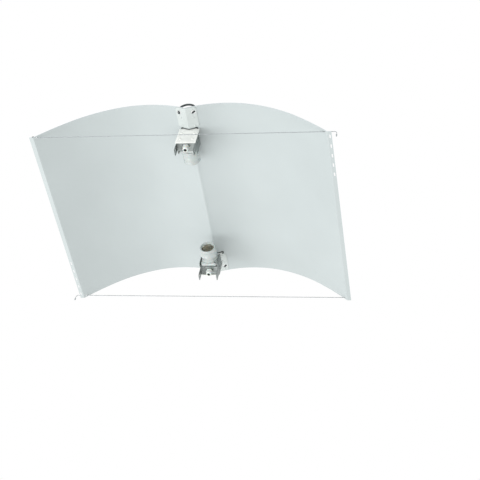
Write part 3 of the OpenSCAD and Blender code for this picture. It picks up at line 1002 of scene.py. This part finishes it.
class GROWLAMP_OT_saddles(bpy.types.Operator):
    """Make the white saddle plates under the crease, and their pop rivets."""

    bl_idname = "growlamp.saddles"
    bl_label = "Saddle plates and rivets"

    def execute(self, context):
        for end in ENDS:
            low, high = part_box(f"saddle_plate_{end}")
            plate = mesh_object(f"saddle_plate_{end}", *self.plate(low, high))
            holes = [
                prism(disc(spot, sizes().hook_hole), *THROUGH_SHEET)
                for side in SIDES.values() for spot in hook_spots(side)
            ]
            cut(plate, holes)
            bevelled(plate, 0.0003, angle=50)
            finish_piece(plate, "saddle", "white_plate", "spine", f"saddle_plate_{end}")
            self.rivets(end)
        return {"FINISHED"}

    def plate(self, low, high):
        """The bent plate, with rounded outer corners."""
        thickness, corner = 0.0012, 0.006
        half_width, gap = 0.0385, 0.00005
        section = wing_section(up_to=half_width, rise=-gap)
        half = [(p.x, p.y, h) for p, h, _ in section]
        full = [(-x, z, -h) for x, z, h in reversed(half[1:])] + half
        reach = full[-1][0]
        points_in, points_out = [], []
        count = 13
        for i in range(count):
            for x, z, h in full:
                past = max(0.0, abs(x) - (reach - corner))
                inset = corner - math.sqrt(max(0.0, corner ** 2 - past ** 2))
                y = low.y + inset + (high.y - low.y - 2 * inset) * i / (count - 1)
                points_in.append((x, y, z))
                points_out.append((x + math.sin(h) * thickness, y, z - math.cos(h) * thickness))
        return walled(points_in, points_out, count, len(full))

    def rivets(self, end):
        """Pop rivets square to the sheet: a domed head below, a clenched end above."""
        settings = sizes()
        head = settings.rivet_head
        low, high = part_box(f"saddle_rivets_{end}")
        rows = even_rows(low.y + head, high.y - head, (high.y - low.y - 2 * head) / 2)
        spot, heading, _ = wing_section(up_to=settings.rivet_arc)[-1]
        profile = [(0, -0.0028), (0.0014, -0.00275), (0.0016, -0.0026), (0.0016, -0.0022),
                   (0.0026, -0.0020), (0.0034, -0.0015), (head, -0.0012), (0.0019, -0.00118),
                   (0.0019, 0.0013), (0.0028, 0.0016), (0.0030, 0.0024), (0.0025, 0.0031),
                   (0.0012, 0.0035), (0, 0.0035)]
        halves = []
        for side in SIDES.values():
            places = [(side * spot.x, y, spot.y) for y in rows]
            halves.append(repeated("half", lathe(profile, 20), places,
                                   Matrix.Rotation(-side * heading, 4, "Y"), "saddle"))
        rivets = mesh_object(f"saddle_rivets_{end}", *together(*map(object_shape, halves)))
        for half in halves:
            bpy.data.objects.remove(half)
        finish_piece(rivets, "saddle", "white_plate", "spine", f"saddle_rivets_{end}")


class GROWLAMP_OT_slot_trims(bpy.types.Operator):
    """Make the black rubber edging of the slots that the hanger plates pass."""

    bl_idname = "growlamp.slot_trims"
    bl_label = "Slot trims"

    def execute(self, context):
        for end in ENDS:
            trim = broken_edges(f"slot_trim_{end}", 0.0003, angle=50)
            finish_piece(trim, "rubber", "trim_rubber", "spine", f"slot_trim_{end}")
        return {"FINISHED"}


# ---- hanging and tension ----

class GROWLAMP_OT_hooks(bpy.types.Operator):
    """Make the C-shaped wire hooks."""

    bl_idname = "growlamp.hooks"
    bl_label = "Wire hooks"

    def execute(self, context):
        # each tip turns on past half a circle by that many degrees
        tip, steps = 40, 72
        for end in ENDS:
            low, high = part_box(f"hanging_hook_{end}")
            wire = high.y - low.y
            radius = (high.x - low.x - wire) / 2
            centre = Vector((0, (low.y + high.y) / 2, high.z - wire / 2 - radius))
            path = []
            for x, z in arc((0, 0), radius, -tip, 180 + tip, steps):
                path.append(centre + Vector((x, 0, z)))
            points, faces = tube(path, wire / 2, 20)
            hook = mesh_object(f"hanging_hook_{end}", points, faces)
            bevelled(hook, 0.0008, segments=3, angle=60)
            finish_piece(hook, "black_steel", "hook_steel", f"{end}_hook", f"hanging_hook_{end}")
        return {"FINISHED"}


class GROWLAMP_OT_tension_wires(bpy.types.Operator):
    """Make the stranded tension wires, their ball stops and their crimped sleeves."""

    bl_idname = "growlamp.tension_wires"
    bl_label = "Tension wires"

    def execute(self, context):
        tree = rope_tree()
        for end in ENDS:
            path = self.path(end)
            line = bpy.data.objects.new(f"tension_wire_{end}", bpy.data.meshes.new("line"))
            edges = [(i, i + 1) for i in range(len(path) - 1)]
            line.data.from_pydata([tuple(p) for p in path], edges, [])
            context.scene.collection.objects.link(line)
            rope = run_tree(
                line, tree, smooth_angle=80, strands=6, strand_radius=0.000333,
                lay=sizes().rope_lay, step=sizes().rope_lay / 8, finish=MATERIALS["wire"],
            )
            finish_piece(rope, None, "wire_steel", f"{end}_wire", f"tension_wire_{end}")
            self.ball(end, path[0])
            self.sleeve(end)
        return {"FINISHED"}

    def path(self, end):
        """From the fixed ball across to the free tail, which bends down."""
        low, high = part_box("tension_wire_near")
        z = high.z - WIRE_RADIUS
        y = (low.y + high.y) / 2
        bend = 0.008
        drop = z - bend - low.z
        tail_x = high.x - WIRE_RADIUS - bend
        points = [Vector((low.x + 0.0005, y, z)), Vector((tail_x, y, z))]
        points += [
            Vector((tail_x + bend * math.sin(a), y, z - bend + bend * math.cos(a)))
            for a in (math.radians(9 * i) for i in range(1, 11))
        ]
        points.append(points[-1] - Vector((0, 0, drop)))
        return [end_turn(end) @ p for p in points]

    def ball(self, end, start):
        """A swaged ball stop with its short sleeve."""
        low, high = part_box(f"wire_ball_{end}")
        radius, sleeve = (high.z - low.z) / 2, 0.0021
        reach = high.x - low.x - radius
        first = math.degrees(math.asin(sleeve / radius))
        profile = [(0, -radius * 0.93), (0.0010, -radius * 0.93)]
        profile += arc((0, 0), radius, -78, 90 - first, 14)
        profile += [(sleeve * 0.9, radius * 0.95), (sleeve, radius * 1.05),
                    (sleeve, reach - 0.0004), (sleeve - 0.0004, reach), (0, reach)]
        turn = end_turn(end)
        middle = Vector((low.x + radius if end == "near" else high.x - radius, start.y, start.z))
        stop = mesh_object(f"wire_ball_{end}", *moved(
            lathe(profile, 32), Matrix.Translation(middle) @ turn @ Matrix.Rotation(math.pi / 2, 4, "Y")))
        finish_piece(stop, "black_steel", "ferrule", f"{end}_wire", f"wire_ball_{end}")

    def sleeve(self, end):
        """A crimped sleeve: pinched twice, with rounded ends."""
        low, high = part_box(f"tail_sleeve_{end}")
        radius, long = (high.x - low.x) / 2, high.z - low.z
        shape = [(0, 0), (0.6, 0), (0.9, 0.05), (1, 0.12), (1, 0.22), (0.82, 0.30), (1, 0.38),
                 (1, 0.58), (0.82, 0.66), (1, 0.74), (1, 0.90), (0.9, 0.97), (0.6, 1), (0, 1)]
        profile = [(r * radius, z * long) for r, z in shape]
        sleeve = mesh_object(f"tail_sleeve_{end}", *moved(
            lathe(profile, 28), Matrix.Translation(((low.x + high.x) / 2, (low.y + high.y) / 2, low.z))))
        finish_piece(sleeve, "fastener", "wire_steel", f"{end}_wire", f"tail_sleeve_{end}")


# ---- height clamps ----

class GROWLAMP_OT_clamps(bpy.types.Operator):
    """Make the clamp blocks, studs and wing nuts that hold the hanger plates."""

    bl_idname = "growlamp.clamps"
    bl_label = "Height clamps"

    def execute(self, context):
        for end in ENDS:
            block = broken_edges(f"clamp_block_{end}", 0.0005, segments=3)
            finish_piece(block, "aluminium", "aluminium", "spine", f"clamp_block_{end}")
            low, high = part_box(f"clamp_stud_{end}")
            turn = end_turn(end)
            y0 = low.y if end == "near" else high.y
            z = (low.z + high.z) / 2
            base = Matrix.Translation((0, y0, z)) @ turn @ ALONG_U
            rod = threaded_rod(STUD_RADIUS, 0.0, high.y - low.y, 0.0008)
            washer_at = self.washer_start(end)
            top = WASHER_THICKNESS
            washer = lathe([(0.0026, 0), (0.0068, 0), (0.007, 0.0002), (0.007, top - 0.0002),
                            (0.0068, top), (0.0026, top)], 40)
            stud = mesh_object(f"clamp_stud_{end}", *together(
                moved(rod, base), moved(washer, base @ Matrix.Translation((0, 0, washer_at)))))
            finish_piece(stud, "fastener", "fastener", "spine", f"clamp_stud_{end}")
            self.wing_nut(end, turn, z)
        return {"FINISHED"}

    def washer_start(self, end):
        """Where the washer sits along the stud, from the stud's free end."""
        stud_low, stud_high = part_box(f"clamp_stud_{end}")
        plate_low, plate_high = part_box(f"hanger_plate_{end}")
        if end == "near":
            gap = plate_low.y - stud_low.y
        else:
            gap = stud_high.y - plate_high.y
        return gap - WASHER_GAP - WASHER_THICKNESS

    def wing_nut(self, end, turn, z):
        """A cast wing nut: a coned hub and two leaning ears."""
        low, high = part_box(f"wing_nut_{end}")
        depth = high.y - low.y
        y0 = low.y if end == "near" else high.y
        ear_half = 0.0008
        hub = lathe([(0.00256, 0), (0.0036, 0), (0.0041, 0.0006), (0.0050, depth - 0.0008),
                     (0.0050, depth), (0.00256, depth)], 40)
        shapes = [hub]
        for side in (-1, 1):
            ear = prism(disc((side * 0.0088, 0.0), 0.0050, 24), -ear_half, ear_half)
            bridge = prism(
                [(side * 0.0035, -0.003), (side * 0.0085, -0.0042),
                 (side * 0.0085, 0.0042), (side * 0.0035, 0.003)][::side], -ear_half, ear_half)
            for shape in (ear, bridge):
                shapes.append(moved(shape, Matrix.Translation((0, 0, depth / 2))))
        nut = mesh_object(f"wing_nut_{end}", *together(*[
            moved(shape, Matrix.Translation((0, y0, z)) @ turn @ ALONG_U) for shape in shapes]))
        bevelled(nut, 0.0004, angle=50)
        finish_piece(nut, "fastener", "fastener", f"{end}_clamp_nut", f"wing_nut_{end}")


# ---- lampholder carriages ----

# the two holder screws stand on a diagonal of the square base, at this x and the same z
HOLDER_SCREWS_AT = (-0.022, 0.022)


class GROWLAMP_OT_plates(bpy.types.Operator):
    """Make the hanger plates and the folded brackets, with broken edges."""

    bl_idname = "growlamp.plates"
    bl_label = "Hanger plates and brackets"

    def execute(self, context):
        for end in ENDS:
            body = f"{end}_lamp_carriage"
            plate = broken_edges(f"hanger_plate_{end}", 0.00035)
            finish_piece(plate, "white_plate", "white_plate", body, f"hanger_plate_{end}")
            bracket = broken_edges(f"socket_bracket_{end}", 0.0003)
            finish_piece(bracket, "zinc", "galvanised", body, f"socket_bracket_{end}")
        return {"FINISHED"}


def rounded_square(half, corner, sides):
    """Points of a square with round corners, at even angles about its middle."""
    points = []
    for k in range(sides):
        a = 2 * math.pi * k / sides
        c, s = math.cos(a), math.sin(a)
        reach = half / max(abs(c), abs(s))
        x, y = abs(reach * c), abs(reach * s)
        inner = half - corner
        if x > inner and y > inner:
            # the ray meets the corner's circle: |t (c, s) - (inner, inner)| = corner
            b = inner * (abs(c) + abs(s))
            reach = b + math.sqrt(b * b - 2 * inner * inner + corner * corner)
        points.append((reach * c, reach * s))
    return points


class GROWLAMP_OT_lampholders(bpy.types.Operator):
    """Make the porcelain lampholders with their threaded shells and contacts."""

    bl_idname = "growlamp.lampholders"
    bl_label = "Lampholders"

    def execute(self, context):
        for end in ENDS:
            place = carriage(end)
            body = f"{end}_lamp_carriage"
            low, high = extent("lampholder", end)
            shell_low, shell_high = extent("screw_shell", end)
            holder = mesh_object(f"lampholder_{end}", *moved(
                self.porcelain(low, high, shell_low, shell_high), place @ ALONG_U), 45)
            drill = lathe([(0, low.y - 0.002), (0.0023, low.y - 0.002),
                           (0.0023, low.y + 0.02), (0, low.y + 0.02)], 24)
            cut(holder, [moved(drill, place @ Matrix.Translation((x, 0, x)) @ ALONG_U)
                         for x in HOLDER_SCREWS_AT], 45)
            finish_piece(holder, "porcelain", "porcelain", body, f"lampholder_{end}")
            shell = mesh_object(f"screw_shell_{end}", *moved(
                self.shell(shell_low, shell_high), place @ ALONG_U), 60)
            finish_piece(shell, "shell", "shell", body, f"screw_shell_{end}")
            contact = mesh_object(f"centre_contact_{end}", *moved(
                self.contact(*extent("centre_contact", end)), place @ ALONG_U))
            bevelled(contact, 0.0002, angle=50)
            finish_piece(contact, "brass", "brass", body, f"centre_contact_{end}")
        return {"FINISHED"}

    def porcelain(self, low, high, shell_low, shell_high):
        """Square base, round barrel with two shallow grooves, rolled rim and cavity, about Z."""
        sides = 96
        base = high.x
        barrel = 0.027
        start, mouth = low.y, high.y
        step = start + 0.010
        cavity = shell_high.x
        deep = shell_low.y - 0.005
        rings = []

        def square_ring(half, corner, z):
            rings.append([(x, y, z) for x, y in rounded_square(half, corner, sides)])

        def round_ring(radius, z):
            rings.append(ring(sides, z, radius))

        square_ring(base - 0.0008, 0.009, start)
        square_ring(base, 0.009, start + 0.0008)
        square_ring(base, 0.009, step - 0.0022)
        square_ring(base - 0.0007, 0.009, step - 0.0007)
        square_ring(base - 0.0022, 0.009, step)
        # the barrel is screwed on: a narrow gap shows at its foot
        round_ring(barrel + 0.0008, step + 0.0001)
        round_ring(barrel + 0.0002, step + 0.0007)
        round_ring(barrel - 0.0024, step + 0.0010)
        round_ring(barrel - 0.0024, step + 0.0027)
        round_ring(barrel - 0.0005, step + 0.0030)
        round_ring(barrel, step + 0.0036)
        for middle in (step + 0.010, mouth - 0.012):
            for depth, z in ((0, -0.0012), (0.0006, -0.0005), (0.0006, 0.0005), (0, 0.0012)):
                round_ring(barrel - depth, middle + z)
        rim = 0.0022
        for i in range(7):
            a = math.radians(15 * i)
            round_ring(barrel - rim + rim * math.cos(a), mouth - rim + rim * math.sin(a))
        inner = cavity + 0.0017
        lip = 0.0012
        for i in range(5):
            a = math.radians(90 - 22.5 * i)
            round_ring(inner + lip - lip * math.cos(a), mouth - lip + lip * math.sin(a))
        round_ring(inner, mouth - 0.0052)
        round_ring(inner - 0.0006, mouth - 0.006)
        round_ring(cavity, mouth - 0.0062)
        round_ring(cavity, deep + 0.002)
        round_ring(cavity - 0.002, deep)
        round_ring(0.0030, deep)
        round_ring(0.0030, start)
        points = [p for row in rings for p in row]
        return points, grid_faces(len(rings), sides, wrap_rows=True, wrap_columns=True)

    def shell(self, low, high):
        """Rolled thread with a rounded profile, open at both ends."""
        pitch = sizes().thread_pitch
        sides, rows = 96, 72
        wall, swing = 0.00035, 0.00038
        middle = high.x - swing - wall / 2
        walls = []
        for offset in (-wall / 2, wall / 2):
            points = []
            for z in even_rows(low.y, high.y, (high.y - low.y) / rows):
                wave = swing * min(1.0, min(z - low.y, high.y - z) / (pitch * 0.5))
                points += ring(sides, z, lambda k, a: (
                    middle + offset + wave * math.cos(2 * math.pi * z / pitch - a)))
            walls.append(points)
        return walled(*walls, rows + 1, sides, wrap_columns=True)

    def contact(self, low, high):
        """Stem, seat and domed centre contact with a raised spring tongue."""
        seat = high.y - 0.0042
        turned = lathe([(0, low.y), (0.0028, low.y), (0.0029, seat), (0.0076, seat),
                        (0.0080, seat + 0.0004), (0.0076, seat + 0.0012), (0.0050, seat + 0.0013),
                        (0.0048, high.y - 0.0012), (0.0040, high.y - 0.0004),
                        (0.0020, high.y - 0.0001), (0, high.y)], 40)
        tongue = [(0.0070, seat + 0.0012), (0.0155, seat + 0.0022), (0.0172, seat + 0.0040),
                  (0.0176, seat + 0.0085), (0.0171, seat + 0.0085), (0.0167, seat + 0.0044),
                  (0.0153, seat + 0.0028), (0.0070, seat + 0.0018)]
        strip = moved(prism(tongue, -0.0025, 0.0025), Matrix.Rotation(math.pi / 2, 4, "X"))
        return together(turned, strip)


def pan_head_screw(radius, height, shank, reach):
    """A pan-head screw about Z with its head on top; the shank reaches down from zero."""
    profile = [(0, -reach), (shank * 0.7, -reach), (shank, -reach + 0.0005), (shank, 0),
               (radius, 0), (radius, height * 0.35)]
    profile += [(radius * math.cos(a), height * (0.35 + 0.65 * math.sin(a)))
                for a in (math.radians(15 * i) for i in range(1, 6))]
    profile += [(0, height)]
    return lathe(profile, 28)


def screw_object(name, screw, recess_at, recess):
    """The screw with a cross recess cut into its head."""
    shape = mesh_object(name, *screw)
    arm, width, deep = recess
    bars = [prism([(-a, -b), (a, -b), (a, b), (-a, b)], recess_at - deep, recess_at + 0.002)
            for a, b in ((arm, width), (width, arm))]
    for bar in bars:
        cut(shape, [bar])
    return shape


def object_shape(shape):
    """Points and faces of an object's mesh."""
    return [v.co.copy() for v in shape.data.vertices], [tuple(p.vertices) for p in shape.data.polygons]


class GROWLAMP_OT_fasteners(bpy.types.Operator):
    """Set the bracket screws, holder screws and terminal screws with their nuts."""

    bl_idname = "growlamp.fasteners"
    bl_label = "Screws and nuts"

    def execute(self, context):
        for end in ENDS:
            place = carriage(end)
            body = f"{end}_lamp_carriage"
            low, high = extent("bracket_screws", end)
            spots = [(x, z) for x in (-0.020, 0.020) for z in (-0.014, 0.014)]
            self.group(f"bracket_screws_{end}", place, spots, head_u=low.y, nut_u=0.0015,
                       head=0.0036, tip_u=high.y, outward=-1, body=body, finish="white_plate")
            low, high = extent("holder_screws", end)
            spots = [(x, x) for x in HOLDER_SCREWS_AT]
            self.group(f"holder_screws_{end}", place, spots, head_u=high.y, nut_u=low.y,
                       head=0.0035, tip_u=low.y, outward=1, body=body, finish="fastener")
            self.terminals(end, place, body)
        return {"FINISHED"}

    def group(self, name, place, spots, head_u, nut_u, head, tip_u, outward, body, finish):
        """Screws through a stack, heads outward, with a nut at the other side."""
        height, shank = 0.0020, 0.0020
        across, nut_height, bore = 0.0068, 0.0025, 0.0019
        seat_u = head_u - outward * height
        raw = pan_head_screw(head, height, shank, abs(tip_u - seat_u))
        screw = screw_object("screw", raw, height, (head * 0.62, head * 0.16, height * 0.6))
        part = object_shape(screw)
        bpy.data.objects.remove(screw)
        turn = ALONG_U if outward > 0 else AGAINST_U
        direction = place.to_3x3().to_4x4() @ turn
        places = [place @ Vector((x, seat_u, z)) for x, z in spots]
        screws = repeated("screws", part, places, direction, finish)
        nut_places = [place @ Vector((x, nut_u, z)) for x, z in spots]
        nuts = repeated("nuts", hex_nut(across, nut_height, bore), nut_places,
                        place.to_3x3().to_4x4() @ ALONG_U, finish)
        both = mesh_object(name, *together(object_shape(screws), object_shape(nuts)))
        for extra in (screws, nuts):
            bpy.data.objects.remove(extra)
        finish_piece(both, finish, finish, body, name)

    def terminals(self, end, place, body):
        """Slotted cheese-head screws in the terminal block."""
        low, high = extent("terminal_screws", end)
        height, head, shank = 0.0026, 0.0025, 0.0017
        half_slot, slot_depth, past = 0.0004, 0.0011, 0.004
        tip = low.z - high.z + height
        raw = lathe([(0, tip), (shank, tip), (shank, 0), (head - 0.0002, 0), (head, 0.0002),
                     (head, height - 0.0004), (head - 0.0004, height), (0, height)], 28)
        shape = mesh_object("screw", *raw)
        cut(shape, [prism([(-past, -half_slot), (past, -half_slot), (past, half_slot),
                           (-past, half_slot)], height - slot_depth, height + 0.001)])
        part = object_shape(shape)
        bpy.data.objects.remove(shape)
        u = (low.y + high.y) / 2
        places = [place @ Vector((x, u, high.z - height)) for x in (-0.0075, 0.0075)]
        screws = repeated(f"terminal_screws_{end}", part, places,
                          place.to_3x3().to_4x4() @ Matrix.Rotation(0.5, 4, "Z"), "brass")
        finish_piece(screws, None, "brass", body, f"terminal_screws_{end}")


class GROWLAMP_OT_entries(bpy.types.Operator):
    """Make the terminal blocks, cable glands and gland nuts."""

    bl_idname = "growlamp.entries"
    bl_label = "Terminal blocks and cable glands"

    def execute(self, context):
        for end in ENDS:
            place = carriage(end)
            body = f"{end}_lamp_carriage"
            block = broken_edges(f"terminal_block_{end}", 0.0006, segments=3)
            finish_piece(block, "porcelain", "porcelain", body, f"terminal_block_{end}")
            low, high = extent("cable_gland", end)
            spot = Matrix.Translation((0, (low.y + high.y) / 2, 0))
            gland = mesh_object(f"cable_gland_{end}", *moved(
                self.gland(low.z, high.z), place @ spot), 40)
            finish_piece(gland, "polyamide", "gland_plastic", body, f"cable_gland_{end}")
            self.paint_seal(gland, place @ spot, low.z)
            low, high = extent("gland_nut", end)
            nut = mesh_object(f"gland_nut_{end}", *moved(
                hex_nut(0.019, high.z - low.z, 0.0080),
                place @ spot @ Matrix.Translation((0, 0, low.z))))
            finish_piece(nut, "polyamide", "gland_plastic", body, f"gland_nut_{end}")
        return {"FINISHED"}

    def paint_seal(self, gland, place, low):
        """Gives the seal in the gland's mouth its rubber finish."""
        seal_radius, seal_depth = 0.0048, 0.012
        gland.data.materials.append(MATERIALS["rubber"])
        inverse = place.inverted()
        for face in gland.data.polygons:
            spot = inverse @ face.center
            if math.hypot(spot.x, spot.y) < seal_radius and spot.z < low + seal_depth:
                face.material_index = 1

    def gland(self, low, high):
        """Threaded stem, hexagon flange and a ribbed dome nut with its seal, about Z."""
        stem_length, flange_height, bore = 0.009, 0.004, 0.0041
        plate = high - stem_length
        flange = moved(hex_nut(0.0206, flange_height, bore),
                       Matrix.Translation((0, 0, plate - flange_height)))
        stem = threaded_tube(0.0079, bore, plate - 0.0005, high, 0.0015)
        dome = ribbed_dome(0.0098, 0.0040, plate - 0.0045, low)
        return together(flange, stem, dome)


def ribbed_dome(radius, bore, top, low, ribs=16):
    """The gland's dome nut: a ribbed grip that rounds over to its mouth."""
    sides = ribs * 6
    rib_depth = 0.0006
    grip_end = top - 0.006
    points = []
    profile = [(radius - 0.0006, top, 0.0), (radius, top - 0.0006, 0.0), (radius, top - 0.0012, 1.0),
               (radius, grip_end, 1.0)]
    steps = 8
    for i in range(1, steps + 1):
        a = math.radians(90 * i / steps)
        r = bore + 0.0012 + (radius - bore - 0.0012) * math.cos(a)
        profile.append((r, grip_end + (low - grip_end) * math.sin(a), max(0.0, 1 - i / 3)))
    profile += [(bore + 0.0004, low + 0.0002, 0.0), (bore, low + 0.0010, 0.0), (bore, top, 0.0)]
    for r, z, rib in profile:
        points += ring(sides, z, lambda k, a: r - rib_depth * rib * (0.5 - 0.5 * math.cos(ribs * a)))
    return points, grid_faces(len(profile), sides, wrap_rows=True, wrap_columns=True)


# ---- stage ----

class GROWLAMP_OT_stage(bpy.types.Operator):
    """Set the camera, the soft lights and the pale floor."""

    bl_idname = "growlamp.stage"
    bl_label = "Stage"

    def execute(self, context):
        st = stage_settings()
        scene = context.scene
        scene.view_settings.view_transform = "Standard"
        self.camera(scene, st)
        self.world(scene, st)
        self.lights(scene)
        half = 30.0
        corners = ((-half, -half), (half, -half), (half, half), (-half, half))
        floor = mesh_object("floor", [(x, y, st.floor_z) for x, y in corners], [(0, 1, 2, 3)])
        material, _, _, shader = begin("pale_floor")
        shader.inputs["Base Color"].default_value = linear("#F2F2F0")
        shader.inputs["Roughness"].default_value = 0.9
        floor.data.materials.append(material)
        return {"FINISHED"}

    def camera(self, scene, st):
        """Looks at the aim point from the set direction, turned by the roll."""
        back = Vector((math.sin(st.azimuth) * math.cos(st.elevation),
                       -math.cos(st.azimuth) * math.cos(st.elevation), math.sin(st.elevation)))
        camera = bpy.data.objects.new("camera", bpy.data.cameras.new("camera"))
        camera.data.lens = st.lens
        camera.data.clip_end = 100
        camera.rotation_mode = "QUATERNION"
        camera.location = Vector(st.aim) + back * st.distance
        look = (-back).to_track_quat("-Z", "Y")
        camera.rotation_quaternion = look @ Matrix.Rotation(st.roll, 3, "Z").to_quaternion()
        scene.collection.objects.link(camera)
        scene.camera = camera

    def world(self, scene, st):
        """An even white surround."""
        world = bpy.data.worlds.new("white_studio")
        world.use_nodes = True
        background = world.node_tree.nodes["Background"]
        background.inputs["Color"].default_value = linear(st.background)
        background.inputs["Strength"].default_value = 1.0
        scene.world = world

    def lights(self, scene):
        """Soft panels, most of them low on the left, that shape the wings a little."""
        for name, place, size, power in (
            ("key_panel", (-2.2, -1.0, -2.9), 1.8, 47.0),
            ("side_panel", (-3.4, -0.6, -1.6), 1.8, 14.0),
            ("low_panel", (-0.6, -0.8, -3.2), 1.2, 18.0),
            ("far_panel", (-1.2, 1.8, -2.2), 1.2, 7.0),
            ("top_panel", (-1.2, -1.4, 3.0), 2.6, 30.0),
        ):
            light = bpy.data.objects.new(name, bpy.data.lights.new(name, "AREA"))
            light.data.size = size
            light.data.energy = power
            light.location = place
            light.rotation_mode = "QUATERNION"
            light.rotation_quaternion = (-Vector(place)).to_track_quat("-Z", "Y")
            scene.collection.objects.link(light)


# ---- add-on ----

OPERATORS = (
    GROWLAMP_OT_stage, GROWLAMP_OT_reflector, GROWLAMP_OT_saddles, GROWLAMP_OT_slot_trims,
    GROWLAMP_OT_hooks, GROWLAMP_OT_tension_wires, GROWLAMP_OT_clamps, GROWLAMP_OT_plates,
    GROWLAMP_OT_lampholders, GROWLAMP_OT_fasteners, GROWLAMP_OT_entries,
)


class GROWLAMP_PT_panel(bpy.types.Panel):
    """The grow lamp's pieces, one button each."""

    bl_idname = "GROWLAMP_PT_panel"
    bl_label = "Grow Lamp"
    bl_space_type = "VIEW_3D"
    bl_region_type = "UI"
    bl_category = "Grow Lamp"

    def draw(self, context):
        for operator in OPERATORS:
            self.layout.operator(operator.bl_idname)


SETTINGS = {
    "grow_lamp_sizes": GrowLampSizes,
    "grow_lamp_colours": GrowLampColours,
    "grow_lamp_stage": GrowLampStage,
}


def register():
    """Adds the settings, the operators and the panel."""
    for cls in (*SETTINGS.values(), *OPERATORS, GROWLAMP_PT_panel):
        bpy.utils.register_class(cls)
    for name, cls in SETTINGS.items():
        setattr(bpy.types.Scene, name, bpy.props.PointerProperty(type=cls))


def unregister():
    """Takes them all away again."""
    for name in SETTINGS:
        delattr(bpy.types.Scene, name)
    for cls in (GROWLAMP_PT_panel, *reversed(OPERATORS), *reversed(tuple(SETTINGS.values()))):
        bpy.utils.unregister_class(cls)


def main():
    """Makes every piece."""
    register()
    MATERIALS.update(make_materials())
    for operator in OPERATORS:
        group, name = operator.bl_idname.split(".")
        getattr(getattr(bpy.ops, group), name)()


if __name__ == "__main__":
    main()
